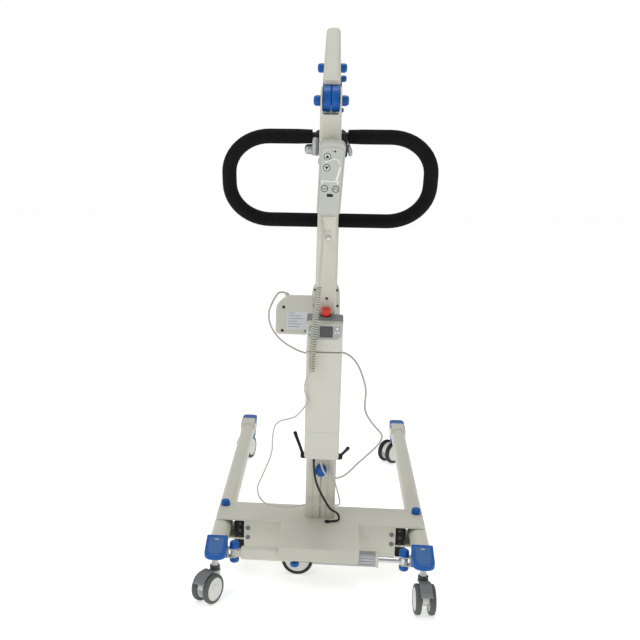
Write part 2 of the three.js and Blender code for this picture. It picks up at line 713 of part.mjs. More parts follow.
sweptTube.normal = new THREE.Vector3(0, HANDLE_DROP, HANDLE_FORWARD).normalize();

function bendStations(path) {
  const lengths = path.getCurveLengths();
  const total = lengths[lengths.length - 1];
  const stations = [0];
  path.curves.forEach((curve, i) => {
    const from = i === 0 ? 0 : lengths[i - 1];
    const steps = curve.isLineCurve3 ? 1 : 4;
    for (let k = 1; k <= steps; k += 1) {
      stations.push((from + ((lengths[i] - from) * k) / steps) / total);
    }
  });
  return stations;
}

function handleLoop(gapHalf, radius, facets) {
  const path = handlePath(gapHalf);
  return sweptTube(path, radius, facets, bendStations(path));
}

function handleTube() {
  return handleLoop(MAST_HALF_WIDTH + 3, HANDLE_TUBE, 10).applyMatrix4(mastFrame);
}

function foamGrip() {
  const outer = handleLoop(FOAM_START, FOAM_RADIUS, 12);
  const inner = handleLoop(FOAM_START - 4, HANDLE_TUBE + GAP, 10);
  return cut(outer, inner).applyMatrix4(mastFrame);
}

function handleClamp(side) {
  const shape = roundedOutline(-17, 17, HANDLE_TOP - 41, HANDLE_TOP + 14, 8);
  const near = side * (MAST_HALF_WIDTH + GAP);
  const far = side * 34;
  const block = sideways(shape, Math.min(near, far), Math.max(near, far), 1.5);
  const tubeBore = bar(HANDLE_TUBE + 2 * GAP, [side * 23.6, 0, HANDLE_TOP], [side * 50, 0, HANDLE_TOP]);
  return cut(block, tubeBore);
}

function handleClampLeft() {
  const knob = turned([
    [0, -4], [4, -4], [4, 2], [9, 3.5], [10.5, 7], [10.5, 14], [8, 18], [0, 19],
  ]).rotateY(-Math.PI / 2).translate(-34, 0, HANDLE_TOP - 30);
  return join(handleClamp(-1), knob).applyMatrix4(mastFrame);
}

function handleClampRight() {
  const bore = bar(4.4, [28, 0, HANDLE_TOP - 30], [40, 0, HANDLE_TOP - 30], 16);
  return cut(handleClamp(1), bore).applyMatrix4(mastFrame);
}

function handleLever() {
  const stud = bar(4, [28.6, 0, 0], [38, 0, 0], 16);
  const arm = sideways(roundedOutline(-6, 6, -26, 6, 5.5), 34 + GAP, 41, 1.2);
  const lever = join(stud, arm);
  return lever.translate(0, 0, HANDLE_TOP - 30).applyMatrix4(mastFrame);
}

// ---------- lift actuator ----------
function actuatorBracket() {
  const { v, w } = LIFT_FOOT;
  const face = MAST_HALF_DEPTH + GAP;
  const cheek = new THREE.Shape();
  cheek.moveTo(face, w - 34);
  cheek.absarc(v, w, 14, rad(-60), rad(60), false);
  cheek.lineTo(face, w + 34);
  const plate = box(-22, 22, face, face + 4, w - 34, w + 34);
  const left = sideways(cheek, -22, -18);
  const right = sideways(cheek, 18, 22);
  const pin = bar(6, [-24, v, w], [24, v, w]);
  return join(plate, left, right, pin).applyMatrix4(mastFrame);
}

function actuatorHousing() {
  const eyeShape = new THREE.Shape();
  eyeShape.absarc(0, 0, 14, rad(180), rad(360), false);
  eyeShape.lineTo(14, 30);
  eyeShape.lineTo(-14, 30);
  const eye = sideways(eyeShape, -17, 17);
  const gear = lengthways(roundedOutline(-33, 33, 24, 130, 16), -31, 31, 4);
  const motorShape = outline([
    [-26, 4], [-108, 4], [-114, 10], [-114, 70], [-106, 84], [-90, 95], [-26, 95],
  ]);
  const motor = lengthways(motorShape, -34, 28, 4);
  const clearMast = box(-60, -20, -60, 60, 0, 24);
  const pinBore = bar(6.4, [-30, 0, 0], [30, 0, 0]);
  const socket = bar(26, [0, 0, 122], [0, 0, 150]);
  const motorClear = cut(motor, clearMast);
  return cut(join(eye, gear, motorClear), pinBore, socket).applyMatrix4(liftFrame);
}

function outerTube() {
  const sleeve = turned([
    [0, 122.3], [25, 122.3], [25, LIFT_TUBE_TOP - 14], [27, LIFT_TUBE_TOP - 13],
    [27, LIFT_TUBE_TOP - 1], [26, LIFT_TUBE_TOP], [0, LIFT_TUBE_TOP],
  ]);
  const bore = bar(12.5, [0, 0, 134], [0, 0, LIFT_TUBE_TOP + 5]);
  return cut(sleeve, bore).applyMatrix4(liftFrame);
}

function liftRod() {
  const top = LIFT_LENGTH;
  const rod = bar(11, [0, 0, top - LIFT_ROD_LENGTH], [0, 0, top - 8]);
  const eye = bar(12, [-6, 0, top], [6, 0, top]);
  const bore = bar(7.4, [-10, 0, top], [10, 0, top]);
  const flats = [box(6, 20, -20, 20, top - 14, top + 5), box(-20, -6, -20, 20, top - 14, top + 5)];
  return cut(join(rod, eye), bore, ...flats).applyMatrix4(liftFrame);
}

// ---------- boom ----------
// Boom section swept along a straight run and a downward bend, as a closed solid.
function boomSweep(halfWidth, halfHeight, corner, start, tail) {
  const section = roundedOutline(-halfWidth, halfWidth, -halfHeight, halfHeight, corner);
  const ring = section.extractPoints(2).shape;
  const rings = [];
  const middle = BOOM_AXIS_Z;
  const place = (y, z, pitch) => rings.push(ring.map((p) => new THREE.Vector3(
    p.x, y - Math.sin(pitch) * p.y, z + Math.cos(pitch) * p.y)));
  place(start, middle, 0);
  const turn = rad(90 + BOOM_RISE);
  const steps = 7;
  for (let i = 0; i <= steps; i += 1) {
    const angle = (turn * i) / steps;
    place(BOOM_STRAIGHT + BOOM_BEND * Math.sin(angle),
      middle - BOOM_BEND * (1 - Math.cos(angle)), -angle);
  }
  const endY = BOOM_STRAIGHT + BOOM_BEND * Math.sin(turn);
  const endZ = middle - BOOM_BEND * (1 - Math.cos(turn));
  place(endY + Math.cos(turn) * tail, endZ - Math.sin(turn) * tail, -turn);
  const count = ring.length;
  const points = rings.flat();
  const faces = [];
  for (let r = 0; r + 1 < rings.length; r += 1) {
    for (let i = 0; i < count; i += 1) {
      const a = r * count + i;
      const b = r * count + ((i + 1) % count);
      faces.push(a, a + count, b, b, a + count, b + count);
    }
  }
  const ends = THREE.ShapeUtils.triangulateShape(ring, []);
  const last = (rings.length - 1) * count;
  for (const [a, b, c] of ends) {
    faces.push(a, b, c);
    faces.push(last + a, last + c, last + b);
  }
  const geometry = new THREE.BufferGeometry().setFromPoints(points);
  geometry.setIndex(faces);
  return geometry;
}

function boomTip() {
  const turn = rad(90 + BOOM_RISE);
  const y = BOOM_STRAIGHT + BOOM_BEND * Math.sin(turn);
  const z = BOOM_AXIS_Z - BOOM_BEND * (1 - Math.cos(turn));
  return pointIn(boomFrame, 0, y, z);
}

function boomTube() {
  const outer = boomSweep(BOOM_HALF_WIDTH, BOOM_HEIGHT / 2, 9, BOOM_ROOT, 26);
  const inner = boomSweep(BOOM_HALF_WIDTH - BOOM_WALL, BOOM_HEIGHT / 2 - BOOM_WALL, 6,
    BOOM_ROOT - 5, 40);
  const { y, z } = LIFT_PIN;
  const slot = upright(roundedOutline(-14, 14, y - 68, y + 40, 6), -40, -5);
  const pinBore = bar(7.4, [-30, y, z], [30, y, z]);
  const latchBore = bar(4.4, [0, 136, 20], [30, 136, 20], 16);
  const heel = box(-17.6, 17.6, 22, BOOM_ROOT + 2, COVER_TOP + GAP, BOOM_AXIS_Z + BOOM_HEIGHT / 2);
  const shell = cut(outer, inner, slot, pinBore, latchBore);
  const tube = join(shell, heel).applyMatrix4(boomFrame);
  const tip = boomTip();
  return cut(tube, bar(6.4, [-30, tip.y, tip.z - HANG_PIN], [30, tip.y, tip.z - HANG_PIN]));
}

function hubCover() {
  const half = 18;
  const shape = new THREE.Shape();
  shape.absarc(0, 0, 23, rad(150), rad(290), false);
  shape.lineTo(BOOM_ROOT - GAP, BOOM_AXIS_Z - BOOM_HEIGHT / 2 + 1);
  shape.lineTo(BOOM_ROOT - GAP, COVER_TOP);
  shape.lineTo(10, COVER_TOP);
  shape.quadraticCurveTo(-10, COVER_TOP - 2, -20, 11.5);
  const body = sideways(shape, -half, half, 3, 5);
  const bore = bar(7.4, [-30, 0, 0], [30, 0, 0]);
  const seamCut = cut(
    box(-0.6, 0.6, -40, BOOM_ROOT + 5, -40, 60),
    sideways(roundedOutline(-21, BOOM_ROOT + 20, -21.5, COVER_TOP - 2, 12), -2, 2));
  return cut(body, bore, seamCut).applyMatrix4(boomFrame);
}

function liftPinCap(side) {
  const reach = BOOM_HALF_WIDTH + GAP;
  const cap = domeCap(11, 15, 7, reach - 8).rotateY(side * Math.PI / 2);
  return cap.translate(side * reach, LIFT_PIN.y, LIFT_PIN.z).applyMatrix4(boomFrame);
}

function pullPin() {
  const knob = turned([
    [0, -14], [4, -14], [4, GAP], [6.5, GAP], [7, 4], [7, 9], [5, 12], [0, 12.5],
  ], 20).rotateY(Math.PI / 2);
  const tab = box(0.6, 3, -3, 3, -22, 0);
  return join(knob, tab).translate(BOOM_HALF_WIDTH, 136, 20).applyMatrix4(boomFrame);
}

// ---------- spreader ----------
function swivelHanger() {
  const tip = boomTip();
  const pinZ = tip.z - HANG_PIN;
  const cross = bar(6, [-18.6, 0, 0], [18.6, 0, 0]);
  const head = bar(13, [-10, 0, 0], [10, 0, 0]);
  const stem = turned([
    [0, -HANG - 18], [13, -HANG - 18], [13, -HANG - 12], [8, -HANG - 11],
    [8, -HANG + 20], [12, -HANG + 21], [12, -HANG + 29], [8, -HANG + 30], [8, 0], [0, 0],
  ]);
  return join(cross, head, stem).translate(0, tip.y, pinZ);
}

function spreaderBar() {
  const tip = boomTip();
  const stops = [];
  for (const [y, z] of [
    [-SPREADER_HALF - 4, 30], [-SPREADER_HALF - 16, 14], [-SPREADER_HALF - 12, -6],
    [-SPREADER_HALF + 8, -16], [-SPREADER_HALF + 34, -12], [-110, -2], [-40, 6], [0, 7],
  ]) {
    stops.push([y, z]);
  }
  const mirrored = stops.slice(0, -1).reverse().map(([y, z]) => [-y, z]);
  const curve = new THREE.CatmullRomCurve3(
    [...stops, ...mirrored].map(([y, z]) => new THREE.Vector3(0, y, z)), false, 'centripetal');
  const circle = new THREE.Shape();
  circle.absarc(0, 0, 9, 0, Math.PI * 2);
  const rail = new THREE.ExtrudeGeometry(circle, {
    steps: 22, curveSegments: 3, bevelEnabled: false, extrudePath: curve,
  });
  const hub = bar(17, [0, 0, -8.5], [0, 0, 19]);
  const bore = bar(8.4, [0, 0, -30], [0, 0, 30]);
  const yoke = cut(join(rail, hub), bore);
  return yoke.translate(0, tip.y, tip.z - HANG_PIN - HANG);
}

// ---------- assembly ----------
add('base_plate', basePlate(), 'ivory');
add('lower_plate', lowerPlate(), 'ivory');
add('foot_plate', footPlate(), 'ivory');
add('leg_pivot_left', legPivot(-LEG_X), 'blue');
add('leg_pivot_right', legPivot(LEG_X), 'blue');
add('mast_socket', mastSocket(), 'ivory');
add('clamp_lever_left', clampLever(-1, 0), 'charcoal');
add('clamp_lever_right', clampLever(1, -100), 'charcoal');
add('socket_knob', socketKnob(), 'blue');
add('mast_tube', mastTube(), 'ivory');
add('control_head', controlHead(), 'sage');
add('battery_pack', batteryPack(), 'sage');
add('estop_button', estopButton(), 'red');
add('handset_shell', handsetShell(), 'sage');
for (const [name, spot] of Object.entries(KEYS)) {
  add(name, handsetKey(spot), 'charcoal');
}
add('handset_hook', handsetHook(), 'ivory');
add('handle_tube', handleTube(), 'silver');
add('foam_grip', foamGrip(), 'foam');
add('handle_clamp_left', handleClampLeft(), 'silver');
add('handle_clamp_right', handleClampRight(), 'charcoal');
add('handle_lever', handleLever(), 'silver');
add('actuator_bracket', actuatorBracket(), 'ivory');
add('actuator_housing', actuatorHousing(), 'cream');
add('outer_tube', outerTube(), 'silver');
add('lift_rod', liftRod(), 'silver');
add('boom_pivot', boomPivotBolt(), 'blue');
add('boom_tube', boomTube(), 'ivory');
add('hub_cover', hubCover(), 'blue');
add('lift_pin_left', liftPinCap(-1), 'blue');
add('lift_pin_right', liftPinCap(1), 'blue');
add('pull_pin', pullPin(), 'blue');
add('swivel_hanger', swivelHanger(), 'silver');
add('spreader_bar', spreaderBar(), 'ivory');
for (const [label, side] of [['left', -1], ['right', 1]]) {
  add(`leg_tube_${label}`, legTube(side), 'ivory');
  add(`rear_cap_${label}`, rearCap(side), 'blue');
  add(`front_cap_${label}`, frontCap(side), 'blue');
  add(`link_pin_${label}`, linkPin(side), 'blue');
}
add('link_bar', linkBar(), 'ivory');
add('leg_actuator_body', legActuatorBody(), 'silver');
add('leg_rod', legRod(), 'silver');
for (const [label, spot] of Object.entries(CASTERS)) {
  add(`caster_${label}`, casterHousing(spot), 'cream');
  add(`wheels_${label}`, casterWheels(spot), 'tyre');
  if (spot.brake) {
    add(`brake_pedal_${label}`, brakePedal(spot), 'charcoal');
  }
}

// The shared origin sits on the floor under the middle of the whole outline.
const outlineBox = new THREE.Box3().setFromObject(group);
const middle = outlineBox.getCenter(new THREE.Vector3());
for (const mesh of group.children) {
  mesh.geometry.translate(-middle.x, -middle.y, -outlineBox.min.z);
}

export default group;
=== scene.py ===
"""Looks of the patient lift hoist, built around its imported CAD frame.

Every local frame below works in millimetres; each piece is written out in metres, in the row frame.
"""
import math

import bmesh
import bpy
from mathutils import Matrix, Vector


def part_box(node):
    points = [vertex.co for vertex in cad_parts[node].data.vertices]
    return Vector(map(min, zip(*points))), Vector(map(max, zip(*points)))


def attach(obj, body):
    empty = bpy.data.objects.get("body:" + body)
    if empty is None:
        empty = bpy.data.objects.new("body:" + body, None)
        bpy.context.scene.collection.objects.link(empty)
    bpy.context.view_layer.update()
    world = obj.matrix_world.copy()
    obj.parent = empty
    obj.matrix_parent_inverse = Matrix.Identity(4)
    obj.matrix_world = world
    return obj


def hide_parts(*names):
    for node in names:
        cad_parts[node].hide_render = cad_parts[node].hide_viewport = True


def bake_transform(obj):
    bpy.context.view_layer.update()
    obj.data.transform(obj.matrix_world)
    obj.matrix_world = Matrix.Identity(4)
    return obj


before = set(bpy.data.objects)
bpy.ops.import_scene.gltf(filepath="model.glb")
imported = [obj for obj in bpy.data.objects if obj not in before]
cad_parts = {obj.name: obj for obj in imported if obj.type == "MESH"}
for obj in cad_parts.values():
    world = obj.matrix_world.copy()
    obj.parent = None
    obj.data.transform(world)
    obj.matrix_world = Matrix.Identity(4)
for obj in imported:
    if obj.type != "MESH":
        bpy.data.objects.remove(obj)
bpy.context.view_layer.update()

# ---------------------------------------------------------------- dimensions (mm, degrees)
# Mast heights run up the leaning mast; boom lengths run out from its pivot.
PLATE_TOP = 129
MAST_LEAN = 12
MAST_FOOT_Y = -22
BOOM_PIVOT = 995
BOOM_RISE = 12
COVER_TOP = 28
BOOM_ROOT, BOOM_STRAIGHT, BOOM_BEND, BOOM_AXIS_Z = 48, 772, 62, 10
BEND_STEPS = 28
LIFT_FOOT = (75, 430)
LIFT_LEAN = 12.65
LIFT_LENGTH = 630.5
LIFT_PIN = (338, 8)
LATCH_SPOT = (136, 20)
SPREADER_DROP = 88
MAST_REAR = -28.3
CLAMP_X, CLAMP_HEIGHT, KNOB_HEIGHT = 35, 157, 143
# Base, legs and link, from the floor and the middle of the hoist.
LEG_X, LEG_Z, LEG_RADIUS, LEG_INNER_X = 231, 103, 21, 213
WALL_REAR, BLOCK_REAR = -88.2, -82.2
LINK_X, LINK_Y, LINK_Z = 192, -188, 87
# Push handle, control box and hand control, in the mast's frame; minus is rearwards.
HANDLE_TOP, HANDLE_DROP, HANDLE_FORWARD = 920, 197, 47
HANDLE_HALF, HANDLE_CORNER = 214, 88
BOX_REAR, BOX_BOTTOM, BOX_SPLIT, BOX_TOP = -86, 195, 465, 531
HANDSET_BOTTOM, HANDSET_HEIGHT, HANDSET_REAR, HANDSET_FRONT = 771, 155, -74, -46
# Place across and up the hand control, and the body that each key rides on.
KEYS = {
    "key_up": (-10, 125, "key_up_body"),
    "key_down": (-10, 102, "key_down_body"),
    "key_legs_open": (-11.5, 58, "key_open_body"),
    "key_legs_close": (11.5, 58, "key_close_body"),
}
# Stem x and y, yaw, wheel radius, trail from stem to axle.
CASTERS = {
    "rear_left": (-LEG_X, -241, -30, 34, 27),
    "rear_right": (LEG_X, -241, 4, 34, 27),
    "front_left": (-LEG_X, 800, -18, 34, 27),
    "front_right": (LEG_X, 800, -45, 34, 27),
    "centre": (-20, -77, -90, 37.5, 30),
}
# Cord's coil up the mast, then the camera.
COIL_TURNS, COIL_TOP, COIL_BOTTOM = 34, 620, 424
CAMERA_SPOT, CAMERA_LENS, CAMERA_SHIFT = (4.0, -2495, 1079), 60.4, (0.161, -0.0017)
CAMERA_PITCH, CAMERA_YAW, CAMERA_ROLL = 10.95, 5.96, 0.5

# ---------------------------------------------------------------- local frames
low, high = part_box("base_plate")
ORIGIN = Vector(((low.x + high.x) / 2, (low.y + high.y) / 2 + 0.0325, high.z - 0.001 * PLATE_TOP))


def local_frame(parent, x, y, z, pitch=0.0, yaw=0.0, roll=0.0):
    """Frame at a point of its parent, turned about X by pitch, Y by roll and Z by yaw."""
    turn = (
        Matrix.Rotation(math.radians(yaw), 4, "Z")
        @ Matrix.Rotation(math.radians(pitch), 4, "X")
        @ Matrix.Rotation(math.radians(roll), 4, "Y")
    )
    return parent @ Matrix.Translation((x, y, z)) @ turn


# WORLD is no turn and no shift, for shapes that are already placed.
WORLD = Matrix.Identity(4)
REARWARD, UPWARD, DOWNWARD, RIGHTWARD = (0, -1, 0), (0, 0, 1), (0, 0, -1), (1, 0, 0)
BASE = Matrix.Translation(ORIGIN) @ Matrix.Scale(0.001, 4)
MAST = local_frame(BASE, 0, MAST_FOOT_Y, PLATE_TOP, pitch=MAST_LEAN)
HANDSET = local_frame(MAST, 0, 0, HANDSET_BOTTOM, roll=2.5)
_pivot = BASE.inverted() @ (MAST @ Vector((0, 0, BOOM_PIVOT)))
BOOM = local_frame(BASE, *_pivot, pitch=BOOM_RISE)
_foot = BASE.inverted() @ (MAST @ Vector((0, *LIFT_FOOT)))
LIFT = local_frame(BASE, *_foot, pitch=-LIFT_LEAN)
_turn = math.radians(90 + BOOM_RISE)
TIP_LOCAL = Vector((
    0,
    BOOM_STRAIGHT + BOOM_BEND * math.sin(_turn),
    BOOM_AXIS_Z - BOOM_BEND * (1 - math.cos(_turn)),
))
_tip = BASE.inverted() @ (BOOM @ TIP_LOCAL)
HANG = local_frame(BASE, 0, _tip.y, _tip.z - 12)
SPREADER = local_frame(HANG, 0, 0, -SPREADER_DROP)


# ---------------------------------------------------------------- materials
def linear(hex_colour):
    values = []
    for i in (0, 2, 4):
        v = int(hex_colour[i:i + 2], 16) / 255
        values.append(v / 12.92 if v <= 0.04045 else ((v + 0.055) / 1.055) ** 2.4)
    return (*values, 1.0)


def set_inputs(node, values):
    """Gives a shader node its plain input values, by name."""
    for name, value in values.items():
        node.inputs[name].default_value = value
    return node


def noise_node(nodes, links, coords, scale, detail, stretch=None):
    noise = set_inputs(nodes.new("ShaderNodeTexNoise"), {"Scale": scale, "Detail": detail})
    if stretch:
        mapping = set_inputs(nodes.new("ShaderNodeMapping"), {"Scale": stretch})
        links.new(coords.outputs["Object"], mapping.inputs["Vector"])
        links.new(mapping.outputs["Vector"], noise.inputs["Vector"])
    else:
        links.new(coords.outputs["Object"], noise.inputs["Vector"])
    return noise


def remap(nodes, links, source, low_value, high_value, start=0.3, stop=0.7):
    node = set_inputs(nodes.new("ShaderNodeMapRange"), {
        "From Min": start, "From Max": stop, "To Min": low_value, "To Max": high_value})
    links.new(source, node.inputs["Value"])
    return node.outputs["Result"]


SLOT_OF = {}
NO_SLOT = "none"


def finish_material(name, colour, rough=(0.4, 0.5), metallic=0.0, grain=900.0, depth=0.00002,
                    blotch=0.03, wear=0.0, wear_colour="e8e6dc", stretch=None, coat=0.0,
                    cells=False, sheen=0.5, slot=None):
    """Paint, plastic, rubber or metal: blotchy colour, uneven roughness, fine grain, worn edges."""
    material = bpy.data.materials.new(name)
    SLOT_OF[material.name] = slot
    material.use_nodes = True
    nodes, links = material.node_tree.nodes, material.node_tree.links
    shader = set_inputs(nodes["Principled BSDF"], {
        "Metallic": metallic, "Coat Weight": coat, "Specular IOR Level": sheen})
    coords = nodes.new("ShaderNodeTexCoord")

    patches = noise_node(nodes, links, coords, 14.0, 3.0)
    base = linear(colour)
    mix = nodes.new("ShaderNodeMix")
    mix.data_type = "RGBA"
    mix.inputs["A"].default_value = (*[c * (1 - blotch) for c in base[:3]], 1)
    mix.inputs["B"].default_value = (*[min(1, c * (1 + blotch)) for c in base[:3]], 1)
    links.new(patches.outputs["Fac"], mix.inputs["Factor"])
    tint = mix.outputs["Result"]

    smudge = noise_node(nodes, links, coords, 46.0, 6.0)
    links.new(remap(nodes, links, smudge.outputs["Fac"], *rough), shader.inputs["Roughness"])

    if wear:
        geometry = nodes.new("ShaderNodeNewGeometry")
        edge = remap(nodes, links, geometry.outputs["Pointiness"], 0.0, wear, 0.52, 0.62)
        rub = nodes.new("ShaderNodeMath")
        rub.operation = "MULTIPLY"
        links.new(edge, rub.inputs[0])
        links.new(smudge.outputs["Fac"], rub.inputs[1])
        worn = nodes.new("ShaderNodeMix")
        worn.data_type = "RGBA"
        links.new(rub.outputs["Value"], worn.inputs["Factor"])
        links.new(tint, worn.inputs["A"])
        worn.inputs["B"].default_value = linear(wear_colour)
        tint = worn.outputs["Result"]
    links.new(tint, shader.inputs["Base Color"])

    if cells:
        fine = set_inputs(nodes.new("ShaderNodeTexVoronoi"), {"Scale": grain})
        links.new(coords.outputs["Object"], fine.inputs["Vector"])
        height = fine.outputs["Distance"]
    else:
        height = noise_node(nodes, links, coords, grain, 2.0, stretch).outputs["Fac"]
    bump = set_inputs(nodes.new("ShaderNodeBump"), {"Strength": 0.6, "Distance": depth})
    links.new(height, bump.inputs["Height"])
    links.new(bump.outputs["Normal"], shader.inputs["Normal"])
    return material


IVORY = finish_material("ivory_powder_coat", "cdccbe", (0.36, 0.5), grain=1400, depth=0.00003,
                        wear=0.25, slot="powder_coat_ivory")
SHELL = finish_material("ivory_enclosure", "cdcdc1", (0.42, 0.56), grain=2600, depth=0.00003,
                        wear=0.15, slot="plastic_sage")
BLUE = finish_material("moulded_blue", "0057a8", (0.34, 0.48), grain=1800, blotch=0.06, wear=0.2,
                       wear_colour="3f80c4", coat=0.05, sheen=0.3, slot="moulded_blue")
# Painted light: a lighter copy of the moulded blue for the raised panels on the leg caps' tops, standing
# for the light that falls on those tops.
CAP_TOP_LIT_BLUE = finish_material("cap_top_painted_light_blue", "2a62a2", (0.42, 0.56), grain=1800, blotch=0.05,
                            wear=0.2, wear_colour="6a9bd0", slot="moulded_blue")
FOAM = finish_material("foam_grip", "101010", (0.88, 0.98), grain=1100, depth=0.00035, blotch=0.25,
                       cells=True, sheen=0.2, slot="grip_foam")
STEEL = finish_material("bright_steel", "c9cbcc", (0.16, 0.3), metallic=1.0, grain=500,
                        depth=0.00001, stretch=(6, 6, 0.4), slot="bright_metal")
ALLOY = finish_material("anodised_alloy", "a6a9aa", (0.3, 0.46), metallic=0.9, grain=700,
                        stretch=(0.3, 6, 6), slot="bright_metal")
ZINC = finish_material("zinc_casting", "b4b7b7", (0.3, 0.5), metallic=0.75, grain=600,
                       depth=0.00005, slot="bright_metal")
CHARCOAL = finish_material("charcoal_polymer", "454849", (0.5, 0.68), grain=1500, depth=0.00004,
                           blotch=0.08, wear=0.3, wear_colour="8a8d8e", sheen=0.35,
                           slot="plastic_charcoal")
BLACK = finish_material("black_polymer", "161718", (0.42, 0.6), grain=1500, depth=0.00004,
                        blotch=0.12, wear=0.2, wear_colour="4a4c4d", sheen=0.3,
                        slot="plastic_charcoal")
SAGE = finish_material("handset_face", "c0c3b8", (0.45, 0.6), grain=2400, depth=0.00003,
                       slot="plastic_sage")
BAND = finish_material("handset_band", "bfc1b8", (0.35, 0.5), grain=2400, slot="plastic_sage")
SLATE = finish_material("slate_band", "84888a", (0.4, 0.55), grain=2200, depth=0.00003,
                        slot="plastic_charcoal")
PANEL = finish_material("panel_film", "a2a6a6", (0.3, 0.42), grain=2600, depth=0.00001,
                        slot="plastic_sage")
RED = finish_material("stop_red", "d4200e", (0.24, 0.36), grain=1500, depth=0.00001, blotch=0.06,
                      coat=0.3, slot="plastic_red")
KEY_WHITE = finish_material("key_disc", "dedfd6", (0.4, 0.5), grain=1800, depth=0.00001,
                            slot="plastic_charcoal")
WHITE = finish_material("white_print", "f1f1ec", (0.4, 0.5), grain=1800, depth=0.00001,
                        slot="plastic_sage")
LCD = finish_material("display_glass", "2c2e2b", (0.06, 0.12), grain=400, depth=0.000002, coat=0.6,
                      slot="plastic_charcoal")
LABEL = finish_material("blank_rating_plate", "d5dade", (0.3, 0.4), grain=1800, depth=0.00001,
                        slot="plastic_cream")
LABEL_BAR = finish_material("rating_plate_bars", "8d959c", (0.3, 0.4), grain=1800, depth=0.00001,
                            slot="plastic_cream")
TYRE = finish_material("grey_tyre", "545756", (0.62, 0.8), grain=1300, depth=0.00008, blotch=0.12,
                       wear=0.35, wear_colour="8f9291", slot="tyre_rubber")
DARK_TYRE = finish_material("black_tyre", "1d1e1f", (0.55, 0.75), grain=1300, depth=0.00008,
                            blotch=0.15, slot="tyre_rubber")
DISC = finish_material("wheel_disc", "dcdcd6", (0.35, 0.5), grain=1800, depth=0.00003, wear=0.2,
                       slot="plastic_cream")
HOOD = finish_material("caster_hood", "75797a", (0.42, 0.58), grain=1600, depth=0.00004, wear=0.3,
                       wear_colour="a5a8a8", slot="plastic_charcoal")
CORD = finish_material("cord_sheath", "bfbdb5", (0.4, 0.55), grain=1500, depth=0.00003)
# Painted shade: the coil is the cord's own sheath, given a darker tone than CORD to stand for the shade
# between its tight turns.
COIL = finish_material("coil_sheath_painted_shade", "b7b9aa", (0.4, 0.55), grain=1500, depth=0.00003)
# Painted shade: near-black for the shaded bays inside the base, behind the open ends of the wall.
VOID = finish_material("recess_shadow", "0b0b0b", (0.8, 0.9), slot="plastic_charcoal")


# ---------------------------------------------------------------- mesh helpers
class Solid:
    """Collects closed shells in a local millimetre frame, then becomes one piece."""

    def __init__(self):
        self.mesh = bmesh.new()

    def rows(self, rings):
        """Vertices for a run of equal rings of points, skinned from each ring to the next."""
        rows = [[self.mesh.verts.new(p) for p in ring] for ring in rings]
        for a, b in zip(rows, rows[1:]):
            self.band(a, b)
        return rows

    def band(self, a, b):
        for i in range(len(a)):
            k = (i + 1) % len(a)
            self.mesh.faces.new((a[i], a[k], b[k], b[i]))

    def rings(self, rings, closed=False):
        """Skin over equal rings of points; the ends are capped unless the run is closed."""
        rows = self.rows(rings)
        if closed:
            self.band(rows[-1], rows[0])
        else:
            self.mesh.faces.new(list(reversed(rows[0])))
            self.mesh.faces.new(rows[-1])
        return self

    def lathe(self, profile, at=WORLD, segments=40, ring=False, cut=None):
        """Turned shell about local Z of frame `at`; a ring's profile closes on itself.

        A cut gives the depth taken off the radius at an angle and height, for flutes and grips.
        """
        rows = []
        for radius, height in profile:
            row = []
            for i in range(segments):
                a = 2 * math.pi * i / segments
                r = radius - cut(a, height) if cut else radius
                row.append(at @ Vector((r * math.cos(a), r * math.sin(a), height)))
            rows.append(row)
        return self.rings(rows, closed=ring)

    def prism(self, outline, start, stop, axis="Z", at=WORLD, round_off=0.0, steps=3):
        """Outline grown from start to stop along an axis, with its two rims rounded off."""
        rows = []
        sign = 1 if stop > start else -1
        for i in range(steps + 1 if round_off else 1):
            a = (math.pi / 2) * i / steps if round_off else math.pi / 2
            inset = round_off * (1 - math.sin(a))
            rows.append((start + sign * round_off * (1 - math.cos(a)), inset))
        rows += [(stop - (level - start), inset) for level, inset in reversed(rows)]
        return self.rings([
            [at @ on_axis(axis, p, level) for p in inset_outline(outline, inset)]
            for level, inset in rows
        ])

    def piece(self, name, at, material, body, replaces=(), slot=None, sharp=40):
        """Makes the object: rides a body and stands for CAD nodes; its slot, or its finish's slot, is
        looked up but not kept.
        """
        self.mesh.transform(at)
        bmesh.ops.recalc_face_normals(self.mesh, faces=self.mesh.faces)
        data = bpy.data.meshes.new(name)
        self.mesh.to_mesh(data)
        self.mesh.free()
        data.materials.append(material)
        data.polygons.foreach_set("use_smooth", [True] * len(data.polygons))
        data.set_sharp_from_angle(angle=math.radians(sharp))
        obj = bpy.data.objects.new(name, data)
        bpy.context.scene.collection.objects.link(obj)
        flat_faces_first(obj)
        if body:
            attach(obj, body)
        if replaces:
            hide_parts(*replaces)
        slot = slot or SLOT_OF[material.name]
        return obj


def flat_faces_first(obj):
    """Lets wide faces set the shading, so that only the rounded rims look curved."""
    weigh = obj.modifiers.new("flat_faces_first", "WEIGHTED_NORMAL")
    weigh.keep_sharp = True


def on_axis(axis, point, level):
    a, b = point
    if axis == "X":
        return Vector((level, a, b))
    if axis == "Y":
        return Vector((a, level, b))
    return Vector((a, b, level))


def inset_outline(outline, distance):
    """The outline moved inwards by a distance, corner by corner."""
    if not distance:
        return list(outline)
    points = [Vector(p) for p in outline]
    area = sum(a.x * b.y - b.x * a.y for a, b in zip(points, points[1:] + points[:1]))
    side = 1 if area > 0 else -1
    moved = []
    for i, here in enumerate(points):
        before = (here - points[i - 1]).normalized()
        after = (points[(i + 1) % len(points)] - here).normalized()
        n1 = Vector((-before.y, before.x)) * side
        n2 = Vector((-after.y, after.x)) * side
        middle = (n1 + n2).normalized()
        reach = distance / max(0.35, middle.dot(n1))
        moved.append(tuple(here + middle * reach))
    return moved


def arc(cx, cy, radius, start, stop, steps):
    angles = [math.radians(start + (stop - start) * i / steps) for i in range(steps + 1)]
    return [(cx + radius * math.cos(a), cy + radius * math.sin(a)) for a in angles]


